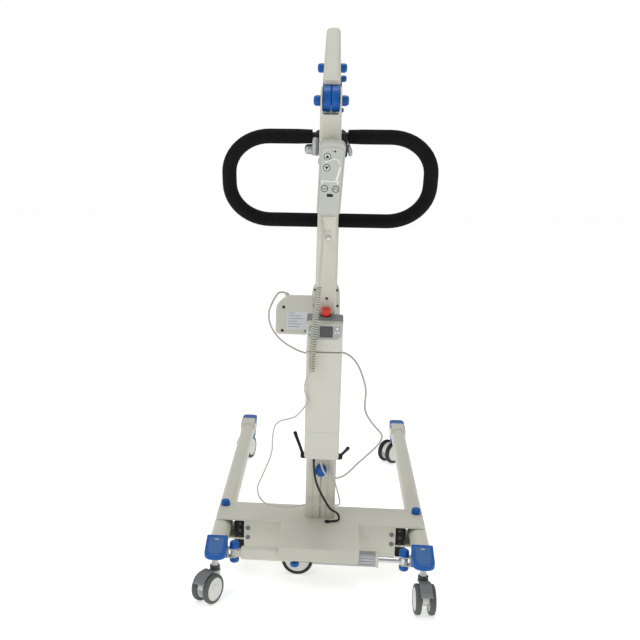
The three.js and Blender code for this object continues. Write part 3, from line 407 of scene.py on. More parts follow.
def rounded(a0, a1, b0, b1, radius, steps=6):
    return (
        arc(a1 - radius, b0 + radius, radius, -90, 0, steps)
        + arc(a1 - radius, b1 - radius, radius, 0, 90, steps)
        + arc(a0 + radius, b1 - radius, radius, 90, 180, steps)
        + arc(a0 + radius, b0 + radius, radius, 180, 270, steps)
    )


def softened(points, radius, steps=4):
    """Polygon with every corner rounded; a corner may carry its own radius as a third value."""
    result = []
    count = len(points)
    for i in range(count):
        own = points[i][2] if len(points[i]) > 2 else radius
        here = Vector(points[i][:2])
        before = Vector(points[i - 1][:2]) - here
        after = Vector(points[(i + 1) % count][:2]) - here
        reach = min(own, before.length * 0.45, after.length * 0.45)
        a = here + before.normalized() * reach
        b = here + after.normalized() * reach
        for k in range(steps + 1):
            t = k / steps
            p = a * (1 - t) ** 2 + here * 2 * t * (1 - t) + b * t ** 2
            result.append((p.x, p.y))
    return result


def smooth_path(points, per_span=8):
    """Points along a smooth curve through the given way-points."""
    pts = [Vector(p) for p in points]
    ends = [pts[0] * 2 - pts[1]] + pts + [pts[-1] * 2 - pts[-2]]
    result = []
    for i in range(1, len(ends) - 2):
        p0, p1, p2, p3 = ends[i - 1:i + 3]
        for k in range(per_span):
            t = k / per_span
            result.append(0.5 * (
                2 * p1 + (p2 - p0) * t + (2 * p0 - 5 * p1 + 4 * p2 - p3) * t * t
                + (3 * p1 - 3 * p2 + p3 - p0) * t ** 3
            ))
    result.append(pts[-1])
    return result


def tube_rings(path, radius, segments=12):
    """Round rings square to a path, turning as little as possible from one to the next."""
    tangents = []
    for i in range(len(path)):
        ahead = path[min(i + 1, len(path) - 1)] - path[max(i - 1, 0)]
        tangents.append(ahead.normalized())
    side = tangents[0].orthogonal().normalized()
    rings = []
    for i, (point, tangent) in enumerate(zip(path, tangents)):
        side = (side - tangent * side.dot(tangent)).normalized()
        other = tangent.cross(side)
        size = radius(i / (len(path) - 1)) if callable(radius) else radius
        rings.append([
            point + (side * math.cos(a) + other * math.sin(a)) * size
            for a in (2 * math.pi * k / segments for k in range(segments))
        ])
    return rings


def cable(name, points, radius, material, body, sharp=40):
    """Round cable along way-points of the mast frame."""
    solid = Solid().rings(tube_rings(smooth_path(points), radius, 10))
    return solid.piece(name, MAST, material, body, slot=NO_SLOT, sharp=sharp)


def in_frame(target, source, points):
    """Points of one local frame, given in another."""
    change = target.inverted() @ source
    return [change @ Vector(p) for p in points]


DOME_SHAPE = ((1.0, 0.0), (1.0, 0.5), (0.985, 0.62), (0.94, 0.74), (0.86, 0.85), (0.72, 0.94),
              (0.52, 0.985), (0.28, 1.0), (0.04, 1.0))


def dome(solid, at, radius, height):
    """Domed cap standing on local Z = 0, with a small rolled foot."""
    profile = [(radius * 0.9, 0), (radius * 0.98, 0.6)]
    profile += [(radius * r, max(1.2, height * h)) for r, h in DOME_SHAPE]
    return solid.lathe(profile, at)


def facing(at, x, y, z, direction):
    """Frame at a point of `at` whose local Z looks along a direction of `at`."""
    turn = Vector((0, 0, 1)).rotation_difference(Vector(direction)).to_matrix().to_4x4()
    return at @ Matrix.Translation((x, y, z)) @ turn


def screw_heads(name, spots, at, radius, body, material=STEEL, slot=None):
    """Button-head screws with a recess, all on one face that looks rearwards."""
    solid = Solid()
    for spot in spots:
        seat = facing(WORLD, *spot, REARWARD)
        profile = [(radius * 0.8, -0.5), (radius, 0.0), (radius, 0.5), (radius * 0.9, 1.3),
                   (radius * 0.62, 1.9), (radius * 0.48, 1.95), (radius * 0.44, 0.9),
                   (radius * 0.05, 0.8)]
        solid.lathe(profile, seat, 24)
    return solid.piece(name, at, material, body, slot=slot)


def carve(obj, cutter_solid, at):
    """Cuts a solid out of a finished piece for good."""
    cutter = cutter_solid.piece("cutter", at, obj.data.materials[0], None)
    obj.modifiers.clear()
    cut = obj.modifiers.new("cut", "BOOLEAN")
    cut.operation = "DIFFERENCE"
    cut.solver = "EXACT"
    cut.object = cutter
    graph = bpy.context.evaluated_depsgraph_get()
    data = bpy.data.meshes.new_from_object(obj.evaluated_get(graph))
    obj.modifiers.clear()
    obj.data = data
    data.set_sharp_from_angle(angle=math.radians(40))
    flat_faces_first(obj)
    bpy.data.objects.remove(cutter)


# ---------------------------------------------------------------- CAD nodes that stay
def round_shading():
    """Node group: shades smooth except across real edges."""
    group = bpy.data.node_groups.new("round_shading", "GeometryNodeTree")
    group.interface.new_socket("Geometry", in_out="INPUT", socket_type="NodeSocketGeometry")
    group.interface.new_socket("Geometry", in_out="OUTPUT", socket_type="NodeSocketGeometry")
    add = group.nodes.new
    start, end = add("NodeGroupInput"), add("NodeGroupOutput")
    faces, edges = add("GeometryNodeSetShadeSmooth"), add("GeometryNodeSetShadeSmooth")
    edges.domain = "EDGE"
    edges.inputs["Shade Smooth"].default_value = False
    angle = add("GeometryNodeInputMeshEdgeAngle")
    wide = add("FunctionNodeCompare")
    wide.operation = "GREATER_THAN"
    wide.inputs["B"].default_value = math.radians(34)
    link = group.links.new
    link(start.outputs[0], faces.inputs["Geometry"])
    link(faces.outputs[0], edges.inputs["Geometry"])
    link(angle.outputs["Unsigned Angle"], wide.inputs["A"])
    link(wide.outputs[0], edges.inputs["Selection"])
    link(edges.outputs[0], end.inputs[0])
    return group


ROUND_SHADING = round_shading()


def dress(node, material, edge=0.7):
    """Keeps a CAD node: softens its edges, shades its curves and gives it a material."""
    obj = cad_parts[node]
    obj.data.materials.clear()
    obj.data.materials.append(material)
    if "custom_normal" in obj.data.attributes:
        obj.data.attributes.remove(obj.data.attributes["custom_normal"])
    weld = obj.modifiers.new("weld", "WELD")
    weld.merge_threshold = 0.00002
    bevel = obj.modifiers.new("soft_edges", "BEVEL")
    bevel.width = edge * 0.001
    bevel.segments = 2
    bevel.limit_method = "ANGLE"
    bevel.angle_limit = math.radians(38)
    bevel.use_clamp_overlap = True
    shade = obj.modifiers.new("round_shading", "NODES")
    shade.node_group = ROUND_SHADING
    flat_faces_first(obj)


def keep_cad_nodes():
    for node in ("base_plate", "foot_plate", "lower_plate", "mast_socket", "mast_tube",
                 "actuator_bracket", "handset_hook"):
        dress(node, IVORY)
    dress("link_bar", IVORY, 1.0)
    dress("leg_actuator_body", ALLOY, 0.5)
    dress("leg_rod", STEEL, 0.5)


# ---------------------------------------------------------------- base and legs
def build_base():
    for side, label in ((-1, "left"), (1, "right")):
        cap = dome(Solid(), facing(BASE, side * LEG_X, 0, PLATE_TOP + 0.3, UPWARD), 11, 14)
        cap.piece(f"leg_pivot_cap_{label}", WORLD, BLUE, "chassis", [f"leg_pivot_{label}"])
        # Near-black blocks in the open ends of the wall, behind the leg pivots: painted shade for the
        # dark bay there.
        block = Solid().prism(rounded(side * 189 - 10.5, side * 189 + 10.5, 50, 124.6, 2, 3),
                              -82, -40, "Y", round_off=1.5)
        block.prism(rounded(side * 191.5 - 13.5, side * 191.5 + 13.5, 50, 124.6, 2, 3), -39, -30, "Y")
        block.piece(f"leg_bay_shadow_block_{label}", BASE, VOID, "chassis")
        skirt = Solid().prism(rounded(side * 135 - 42.5, side * 135 + 42.5, 48, 72, 1, 2),
                              -88.2, -85.4, "Y", round_off=0.5)
        skirt.piece(f"wall_lower_edge_{label}", BASE, IVORY, "chassis")
    spots = [(side * 169, WALL_REAR, z) for side in (-1, 1) for z in (107, 84)]
    screw_heads("wall_screws", spots, BASE, 5.6, "chassis", HOOD, "bright_metal")
    # These bolts are charcoal to match their dark look inside the shaded bay: painted shade.
    spots = [(side * 188, BLOCK_REAR, z) for side in (-1, 1) for z in (115, 98, 81)]
    screw_heads("block_screws", spots, BASE, 4.2, "chassis", CHARCOAL)


def leg_tube(side, label):
    ends = ((-206, LEG_RADIUS - 0.8), (-205, LEG_RADIUS), (781, LEG_RADIUS), (782, LEG_RADIUS - 0.8))
    body = Solid().rings([
        [Vector((x, y, z)) for x, z in arc(side * LEG_X, LEG_Z, radius, 0, 352.5, 47)]
        for y, radius in ends
    ])
    tab = arc(side * LINK_X, LINK_Y, 9, 180 + 90 * side, 90 * side, 12)
    tab += [(side * LEG_INNER_X, LINK_Y + side * 9), (side * LEG_INNER_X, LINK_Y - side * 9)]
    for z in (LINK_Z + 8, LINK_Z - 11):
        body.prism(tab, z, z + 3, round_off=0.6, steps=2)
    gusset = rounded(side * 209 - 4, side * 209 + 4, LINK_Y - 9, LINK_Y + 9, 1.5, 3)
    body.prism(gusset, LINK_Z - 10.5, LINK_Z + 10.5)
    body.piece(f"leg_tube_{label}_finish", BASE, IVORY, f"leg_{label}",
               [f"leg_tube_{label}"], sharp=45)


def cap_ring(x, half, y, bottom, top, radius):
    half = max(half, radius + 0.2)
    radius = min(radius, (top - bottom) / 2 - 0.2)
    return [Vector((a, y, b)) for a, b in rounded(x - half, x + half, bottom, top, radius, 5)]


def rear_cap(side, label):
    def top(y):
        return 127 + (y + 187) * 0.25

    x = side * LEG_X
    stations = [(-187, 23.2, 81.3, 126.2), (-188, 24, 80.5, 126.9), (-207, 24, 80.5, top(-207)),
                (-211, 24, 82, top(-211)), (-224, 24, 95.5, top(-224)), (-228, 24, 97, top(-228)),
                (-243, 24, 97, top(-243))]
    for i in range(1, 10):
        a = math.radians(10 * i)
        y = -243 - 21 * math.sin(a)
        roll = 2.2 * math.sin(a) ** 6
        stations.append((y, 3 + 21 * math.cos(a), 97 + roll * 0.6, top(y) - roll))
    rings = [cap_ring(x, half, y, bottom, high, 3) for y, half, bottom, high in stations]
    cap = Solid().rings(rings)
    cap.piece(f"rear_cap_{label}_finish", BASE, BLUE, f"leg_{label}",
              [f"rear_cap_{label}"], sharp=42)
    edge = [(-16.5, 3), (16.5, 3)] + arc(0, 49, 16.5, 0, 180, 16)
    # Raised panel in the lighter blue: painted light on the rear cap's top.
    panel = Solid().prism(edge, -1, 0.7, round_off=0.6, steps=2)
    panel.piece(f"rear_panel_{label}", local_frame(BASE, x, -194, top(-194), pitch=-14.04, yaw=180),
                CAP_TOP_LIT_BLUE, f"leg_{label}")


def front_cap(side, label):
    x = side * LEG_X
    stations = [(720, 21.6, 81.3, 126.2), (721, 22.2, 80.5, 127), (770, 22.2, 80.5, 127),
                (774, 22.2, 83, 127), (784, 22.2, 95, 127), (788, 22.2, 97, 126.8),
                (810, 22.2, 97, 125.5)]
    for i in range(1, 9):
        a = math.radians(90 * i / 8)
        stations.append((810 + 20 * math.sin(a), 5 + 17.2 * math.cos(a),
                         97 + 1.5 * math.sin(a) ** 4, 125.5 - 7 * (1 - math.cos(a))))
    rings = [cap_ring(x, half, y, bottom, top, 3.4) for y, half, bottom, top in stations]
    Solid().rings(rings).piece(f"front_cap_{label}_finish", BASE, BLUE, f"leg_{label}",
                               [f"front_cap_{label}"], sharp=42)
    # Raised panel in the lighter blue: painted light on the front cap's top.
    panel = Solid().prism(rounded(x - 15.5, x + 15.5, 776, 814, 6, 6), 122, 127.6, round_off=0.7)
    panel.piece(f"front_panel_{label}", BASE, CAP_TOP_LIT_BLUE, f"leg_{label}")
    sleeve = Solid().prism(rounded(x - 22.6, x + 22.6, 92, 129.2, 9, 8), 714, 769, "Y", round_off=1.6)
    sleeve.piece(f"front_sleeve_{label}", BASE, IVORY, f"leg_{label}")


def link_pin(side, label):
    pin = Solid()
    dome(pin, facing(BASE, side * LINK_X, LINK_Y, LINK_Z + 11.3, UPWARD), 11, 17)
    dome(pin, facing(BASE, side * LINK_X, LINK_Y, LINK_Z - 11.3, DOWNWARD), 11, 12)
    pin.lathe([(5, -13), (5, 13)], facing(BASE, side * LINK_X, LINK_Y, LINK_Z, UPWARD), 24)
    pin.piece(f"link_pin_{label}_finish", WORLD, BLUE, f"leg_{label}", [f"link_pin_{label}"])


def build_leg_drive():
    cap = dome(Solid(), facing(BASE, -54, LINK_Y, LINK_Z - 14.2, DOWNWARD), 10.5, 13)
    cap.piece("link_joint_cap", WORLD, BLUE, "leg_link")
    yoke = Solid().prism(rounded(LINK_Y - 10.5, LINK_Y + 10.5, LINK_Z - 12.5, LINK_Z + 12.5, 3.5),
                         -42, -12.4, "X", round_off=1.2)
    yoke.piece("link_joint_yoke", BASE, CHARCOAL, "leg_link")
    end = Solid().prism(rounded(LINK_Y - 15.2, LINK_Y + 15.2, LINK_Z - 15.2, LINK_Z + 15.2, 4),
                        128, 134.6, "X", round_off=1.2)
    end.piece("leg_actuator_end_cap", BASE, IVORY, "leg_link")


# ---------------------------------------------------------------- casters
def caster(label):
    x, y, yaw, radius, trail = CASTERS[label]
    at = local_frame(BASE, x, y, 0, yaw=yaw)
    body, wheels = f"caster_{label}_body", f"wheels_{label}_body"
    hub = 2 * radius - 3

    shell = Solid()
    web = [(12, hub + 2), (8, hub - 20)] + arc(-trail, radius, 14, -30, -145, 8)
    web += arc(-trail, radius, radius - 5.5, 172, 66, 16) + [(-14, hub + 2)]
    shell.prism(web, -8, 8, "X", round_off=1.6, steps=3)
    shell.lathe([(11.4, hub - 0.8), (12.6, hub), (12.6, hub + 1.4), (11, hub + 2.2)])
    shell.piece(f"caster_body_{label}", at, DISC, body, [f"caster_{label}"], sharp=46)
    collar = Solid().lathe([
        (10, hub + 1.8), (11.4, hub + 2.6), (11.4, hub + 6), (10.7, hub + 6.6), (10.7, hub + 7.8),
        (11.4, hub + 8.4), (11.4, hub + 12), (10.2, hub + 13.4), (7.2, hub + 13.6),
    ])
    collar.piece(f"caster_collar_{label}", at, CHARCOAL, body)
    stem = Solid().lathe([(6.9, hub + 12), (7, 102.8), (6.4, 103.4)], segments=32)
    stem.lathe([(8.4, hub + 13.4), (9, hub + 14), (9, hub + 16.6), (8.4, hub + 17.2)], segments=6)
    stem.piece(f"caster_stem_{label}", at, DISC, body, slot="bright_metal", sharp=30)

    tyres, discs = Solid(), Solid()
    for side in (-1, 1):
        seat = facing(WORLD, 0, -trail, radius, (side, 0, 0))
        rim = radius * 0.79
        tyres.lathe([
            (rim - 0.2, 9.4), (radius - 3.4, 9.0), (radius - 1.5, 9.8), (radius - 0.4, 11.6),
            (radius, 14), (radius, 17), (radius - 0.4, 19.2), (radius - 1.8, 21),
            (radius - 4, 22), (rim + 0.8, 22.2), (rim, 21.4), (rim - 0.2, 19),
        ], seat, 64, ring=True)
        discs.lathe([
            (6, 9.4), (rim - 0.5, 9.6), (rim - 0.5, 20.9), (rim - 1.2, 21.5), (rim - 2.4, 21.5),
            (rim - 3.2, 21), (12, 21.8), (11.4, 22.6), (10.4, 22.9), (0.3, 23),
        ], seat, 56)
    discs.lathe([(5, -9.8), (5, 9.8)], facing(WORLD, 0, -trail, radius, RIGHTWARD), 24)
    grey = label.startswith("rear")
    tyres.piece(f"tyres_{label}", at, TYRE if grey else DARK_TYRE, wheels,
                [f"wheels_{label}"], sharp=60)
    discs.piece(f"wheel_discs_{label}", at, DISC, wheels, sharp=32)
    if grey:
        brake_pedal(label, at, radius, trail)


def brake_pedal(label, at, radius, trail):
    """Ribbed pedal arched over the wheels, with a lug down to the caster body."""
    pedal = Solid()
    arch = arc(-trail, radius, radius + 5.2, 75, 136, 16)
    arch += [(-trail - 34, radius + 24.4), (-trail - 40, radius + 22.6), (-trail - 39, radius + 20.4)]
    arch += arc(-trail, radius, radius + 2.5, 138, 75, 16)
    pedal.prism(arch, -13, 13, "X", round_off=0.9, steps=3)
    lug = arc(-trail, radius, radius + 3.5, 100, 114, 4)
    lug += arc(-trail, radius, radius - 5.2, 114, 100, 4)
    pedal.prism(lug, -4.4, 4.4, "X")
    nub = arc(-trail, radius, radius + 3, 134, 141, 3) + arc(-trail, radius, radius - 2, 141, 134, 3)
    pedal.prism(nub, -3.4, 3.4, "X", round_off=0.6)
    for angle in range(88, 134, 6):
        rib = arc(-trail, radius, radius + 5.9, angle, angle + 2, 2)
        rib += arc(-trail, radius, radius + 4.8, angle + 2, angle, 2)
        pedal.prism(rib, -10.5, 10.5, "X")
    pedal.piece(f"brake_pedal_{label}_finish", at, HOOD, f"brake_{label}_body",
                [f"brake_pedal_{label}"], sharp=46)


# ---------------------------------------------------------------- mast furniture
def build_mast_fittings():
    bolt = Solid()
    for side in (-1, 1):
        dome(bolt, facing(MAST, side * 22.3, 0, BOOM_PIVOT, (side, 0, 0)), 11, 14)
    bolt.lathe([(7, -22), (7, 22)], facing(MAST, 0, 0, BOOM_PIVOT, RIGHTWARD), 24)
    bolt.piece("boom_pivot_caps", WORLD, BLUE, "mast", ["boom_pivot"])
    small = dome(Solid(), facing(MAST, 22, 2, BOOM_PIVOT - 20, RIGHTWARD), 4.6, 4)
    small.piece("mast_side_plug", WORLD, BLUE, "mast")
    web = Solid().prism(rounded(-18.4, 18.4, -26, -1.4, 1, 2), BOOM_PIVOT - 27, BOOM_PIVOT - 23.8,
                        round_off=0.3)
    web.piece("fork_web", MAST, IVORY, "mast")
    screw_heads("mast_screws", [(x, MAST_REAR, 918) for x in (-9, 9)], MAST, 4.4, "mast")
    screw_heads("mast_low_screw", [(2, MAST_REAR, 568)], MAST, 3.2, "mast", CHARCOAL)
    screw_heads("hook_screws", [(x, -62.2, 733) for x in (-4, 4)], MAST, 2.2, "mast")
    nut = dome(Solid(), facing(MAST, 2, -62, 719, REARWARD), 5, 5)
    nut.piece("hook_dome_nut", WORLD, STEEL, "mast")


def clamp_lever(side, turn, label):
    at = local_frame(MAST, side * CLAMP_X, 0, CLAMP_HEIGHT, pitch=turn, yaw=90 - 90 * side)
    lever = Solid()
    hub = facing(WORLD, 0, 0, 0, RIGHTWARD)
    lever.lathe([(6.2, 0.3), (7.4, 1), (7.8, 6), (7.2, 12), (5.6, 14.2), (0.4, 14.6)], hub, 28)
    path = smooth_path([(7, 0, 0), (10, 0, 6), (17, 0, 27), (25, 0, 50), (28.5, 0, 62)], 6)

    def thickness(t):
        waist = 1.0 * math.sin(math.pi * min(1, t * 1.1))
        return 4.6 - waist - (1.8 if t > 0.985 else 0)

    lever.rings(tube_rings(path, thickness, 20))
    lever.lathe([(3.4, -9.5), (3.4, 0.4)], hub, 20)
    lever.piece(f"clamp_lever_{label}_finish", at, BLACK, f"clamp_{label}",
                [f"clamp_lever_{label}"], sharp=60)


def socket_knob():
    def flute(angle, height):
        return 1.9 * (0.5 + 0.5 * math.cos(8 * angle)) ** 3 * (1 if 2 < height < 17 else 0.3)

    knob = Solid().lathe([(10, 0.3), (12.4, 1), (13.6, 2.4), (14, 12), (13.2, 15.5), (11.4, 17.2),
                          (8.4, 18)], segments=96, cut=flute)
    knob.lathe([(3.8, -5), (3.8, 0.5)], segments=20)
    knob.lathe([(7.2, 17.6), (7.2, 18.3), (6.4, 18.8), (0.3, 18.8)], segments=36)
    knob.piece("socket_knob_finish", facing(MAST, 0, -CLAMP_X, KNOB_HEIGHT, REARWARD), BLUE,
               "socket_screw", ["socket_knob"])


# ---------------------------------------------------------------- control box
def build_control_box():
    head = Solid()
    head.prism(rounded(-39, 39, BOX_SPLIT - 0.5, BOX_TOP, 6), BOX_REAR, -28.6, "Y",
               round_off=4, steps=5)
    head.prism(rounded(-33, 33, BOX_BOTTOM + 6, BOX_SPLIT + 20, 4), -34.2, -28.6, "Y", round_off=0.8)
    rim = softened([(-37.4, 529.6, 5), (37.4, 529.6, 5), (37.4, 502, 12), (27, 493.4, 12),
                    (-27, 493.4, 12), (-37.4, 502, 12)], 3, 6)
    head.prism(rim, BOX_REAR + 3, BOX_REAR - 1.2, "Y", round_off=1.1)
    head.piece("control_head_shell", MAST, SHELL, "mast", ["control_head"], sharp=50)
    hood = Solid().prism(rounded(-39.4, 39.4, -67, -28.7, 5, 6), 506, BOX_TOP + 1.2, "Z",
                         round_off=2.6, steps=4)
    hood.piece("control_head_top", MAST, SLATE, "mast", sharp=50)

    film = softened([(-35.6, 528.4, 4), (35.6, 528.4, 4), (35.6, 503, 11), (26, 495.2, 11),
                     (-26, 495.2, 11), (-35.6, 503, 11)], 3, 6)
    face = Solid().prism(film, BOX_REAR + 1, BOX_REAR - 1.6, "Y", round_off=0.5)
    face.piece("control_panel_film", MAST, PANEL, "mast")
    frame_bar = Solid().prism(rounded(-10.6, 17.2, 500.8, 527, 1.8), BOX_REAR, BOX_REAR - 2.1, "Y",
                              round_off=0.4)
    frame_bar.piece("display_frame", MAST, CHARCOAL, "mast")
    lcd = Solid().prism(rounded(-9.6, 16.2, 502, 525.8, 1), BOX_REAR, BOX_REAR - 2.4, "Y", round_off=0.2)
    lcd.piece("control_display", MAST, LCD, "mast")

    marks = Solid()
    depth = (BOX_REAR - 1, BOX_REAR - 2.1)
    marks.prism(softened([(-31, 518), (-25, 518), (-28, 523.4)], 0.4, 2), *depth, "Y")
    marks.prism(softened([(23.8, 523.4), (29.8, 523.4), (26.8, 518)], 0.4, 2), *depth, "Y")
    for x in (-31.4, -25.4, 23.4, 30.2):
        marks.prism(rounded(x - 1.7, x + 1.7, 510.6, 514, 1.2, 3), *depth, "Y")
    marks.piece("control_marks", MAST, WHITE, "mast")

    seat = facing(MAST, 1.3, -50, BOX_TOP, UPWARD)
    collar = Solid().lathe([
        (14.6, -3), (14.8, 2), (14.4, 4.4), (13.6, 5.6), (12.6, 6), (11.7, 5.4), (11.5, 2.2),
        (5.6, 1.9), (5.4, -6),
    ], seat, 48, ring=True)
    collar.piece("stop_collar", WORLD, HOOD, "mast")

    def grip(angle, height):
        return 0.45 * (0.5 + 0.5 * math.cos(12 * angle)) if 8 < height < 22 else 0

    button = Solid().lathe([(4.9, -5.5), (4.9, 7.2), (9.6, 7.4), (10.8, 8.6), (11, 12), (11, 19),
                            (10.5, 21.6), (9, 23.3), (6, 24), (0.4, 24.1)], segments=72, cut=grip)
    button.piece("stop_button_finish", seat, RED, "estop", ["estop_button"])

    battery = Solid()
    body = rounded(-39, 39, BOX_BOTTOM, 463, 8, 6)
    battery.prism(body, BOX_REAR, -34.9, "Y", round_off=5, steps=5)
    battery.prism(rounded(-39.7, 39.7, BOX_REAR - 1, -35.4, 6, 6), 455, 463.6, "Z", round_off=1.5)
    battery.piece("battery_pack_shell", MAST, SHELL, "battery", ["battery_pack"], sharp=50)
    seam = Solid().prism(rounded(-38.9, 38.9, BOX_REAR - 0.1, -36, 5, 6), 266.5, 267, "Z")
    seam.piece("battery_seam", MAST, PANEL, "battery")


# ---------------------------------------------------------------- handset
def handset_outline():
    shoulder = 24.3 + 1.9 * 148 / HANDSET_HEIGHT
    foot = [(-24.3, 6, 6), (-18, 0, 9), (18, 0, 9), (24.3, 6, 6)]
    crown = [(shoulder, 148, 8), (19, 154.4, 9), (0, 156.2, 30), (-19, 154.4, 9), (-shoulder, 148, 8)]
    return softened(foot + crown, 6, 6)


def build_handset():
    film = softened([(-21.4, 6, 7), (-16, 3, 8), (16, 3, 8), (21.4, 6, 7), (22.8, 141, 4),
                     (12, 144.4, 10), (0, 145.2, 30), (-12, 144.4, 10), (-22.8, 141, 4)], 6, 6)
    layers = (
        ("handset_body", BAND, ["handset_shell"], 55, handset_outline(),
         (HANDSET_REAR, HANDSET_FRONT, "Y", WORLD, 3.2, 5)),
        ("handset_groove", HOOD, [], 40, inset_outline(film, -0.5),
         (HANDSET_REAR + 1, HANDSET_REAR - 0.15, "Y")),
        ("handset_film", SAGE, [], 40, film, (HANDSET_REAR + 1, HANDSET_REAR - 0.5, "Y", WORLD, 0.3)),
    )
    for name, material, replaced, sharp, outline, growth in layers:
        layer = Solid().prism(outline, *growth)
        layer = layer.piece(name, HANDSET, material, "handset", replaced, sharp=sharp)
        carve(layer, key_wells(), HANDSET)
    for name, (x, w, key_body) in KEYS.items():
        handset_key(name, facing(HANDSET, x, HANDSET_REAR, w, REARWARD), key_body)
    lamps = Solid()
    depth = (HANDSET_REAR, HANDSET_REAR - 0.9, "Y")
    lamps.prism(rounded(-5.6, 6, 40.8, 47.2, 1.4, 4), *depth, round_off=0.2)
    lamps.prism(rounded(6.1, 7.3, 42.6, 45.4, 0.4, 2), *depth)
    lamps.prism(rounded(-1.6, 1.4, 136.2, 137.2, 0.4, 2), *depth)
    lamps.lathe([(1.9, -0.5), (2, 0.7), (1.5, 1), (0.3, 1.05)],
                facing(WORLD, 5, HANDSET_REAR, 136.4, REARWARD), 24)
    lamps.piece("handset_lamps", HANDSET, BLACK, "handset")
    pictogram()


def key_wells():
    wells = Solid()
    for x, w, _ in KEYS.values():
        wells.lathe([(7.4, -2.8), (7.4, 3)],
                    facing(WORLD, x, HANDSET_REAR, w, REARWARD), 48)
    return wells


def handset_key(name, at, body):
    cap = Solid().lathe([(7, -1.6), (7.1, 0.7), (6.8, 1.1), (6.2, 1.2), (0.3, 1.3)], at, 44)
    colour = KEY_WHITE if name in ("key_up", "key_down") else SAGE
    cap.piece(f"{name}_cap", WORLD, colour, body, [name], "plastic_charcoal")
    ring = Solid().lathe([(6.0, 1.1), (6.95, 0.9), (7.0, 1.25), (6.0, 1.45)], at, 44, ring=True)
    icon_marks(ring, name, at)
    ring.piece(f"{name}_ring", WORLD, BLACK, body)


def icon_marks(solid, name, at):
    """Small raised symbol on a round key: an arrow, or a pair of legs spreading or closing."""
    if name in ("key_up", "key_down"):
        tip = 1 if name == "key_up" else -1
        solid.prism([(-4.3, -2.8 * tip), (4.3, -2.8 * tip), (0, 4.1 * tip)], 1, 1.7, "Z", at)
        return
    tip = 1 if name == "key_legs_open" else -1
    bow = ((-4.2, 1.6), (-2.4, -0.2), (0, -1.2), (2.4, -0.2), (4.2, 1.6))
    stroke = [Vector((x, tip * y, 1.35)) for x, y in bow]
    solid.rings([[at @ p for p in ring] for ring in tube_rings(smooth_path(stroke, 3), 0.5, 6)])


def pictogram():
    """White line drawing of a hoist on the handset face, as thin raised strokes."""
    y = HANDSET_REAR - 0.55
    solid = Solid()
    bend = ((-14.5, 112.6), (-9, 116.4), (-3, 118.6), (4, 120.4), (9, 120.8), (13.5, 117.4),
            (17.6, 110.6))
    boom = [Vector((x, y, w)) for x, w in bend]
    solid.rings(tube_rings(smooth_path(boom, 4), 1.15, 8))
    for outline in ([(16.6, 106), (19.6, 105.4), (14, 76), (9.4, 76)],
                    rounded(-19.6, 17.6, 73.2, 75.2, 0.8, 3)):
        solid.prism(outline, HANDSET_REAR, HANDSET_REAR - 1.1, "Y")
    for x in (-16.6, 14.6):
        solid.lathe([(1.9, 0), (2.1, 0.5), (2.1, 1.0), (0.3, 1.1)],
                    facing(WORLD, x, HANDSET_REAR, 70.4, REARWARD), 20)
    solid.piece("handset_pictogram", HANDSET, WHITE, "handset")


# ---------------------------------------------------------------- push handle
def loop_path(gap_half):
    """Centre line of the push loop, open by a gap at the middle of its top."""
    drop = math.hypot(HANDLE_DROP, HANDLE_FORWARD)
    lean = math.atan2(HANDLE_FORWARD, HANDLE_DROP)
    r, wide = HANDLE_CORNER, HANDLE_HALF
    flat = [(gap_half, 0)]
    for cx, cy, start in ((wide - r, r, -90), (wide - r, drop - r, 0),
                          (-wide + r, drop - r, 90), (-wide + r, r, 180)):
        flat += arc(cx, cy, r, start, start + 90, 12)
    flat.append((-gap_half, 0))
    path = []
    for a, b in zip(flat, flat[1:]):
        length = math.hypot(b[0] - a[0], b[1] - a[1])
        pieces = max(1, int(length / 24))
        path += [(a[0] + (b[0] - a[0]) * k / pieces, a[1] + (b[1] - a[1]) * k / pieces)
                 for k in range(pieces)]
    path.append(flat[-1])
    return [Vector((x, down * math.sin(lean), HANDLE_TOP - down * math.cos(lean)))
            for x, down in path]


def stepped_tube(path, radius, step, segments):
    """Tube along a path, thinner by a step at its two ends."""
    last = len(path) - 1
    return Solid().rings(tube_rings(
        path, lambda t: radius - (step if round(t * last) in (0, last) else 0), segments))


def build_handle():
    tube = stepped_tube(loop_path(25), 10.6, 2.0, 28)
    tube.piece("handle_tube_finish", MAST, BLACK, "handle", ["handle_tube"])
    foam = stepped_tube(loop_path(37), 15.5, 1.0, 36)
    foam.piece("foam_grip_finish", MAST, FOAM, "handle", ["foam_grip"], sharp=60)
    handle_clamps()


def carve_handle_bore(clamp):
    carve(clamp, Solid().lathe([(11.3, -40), (11.3, 40)],
                               facing(WORLD, 0, 0, HANDLE_TOP, RIGHTWARD), 32), MAST)


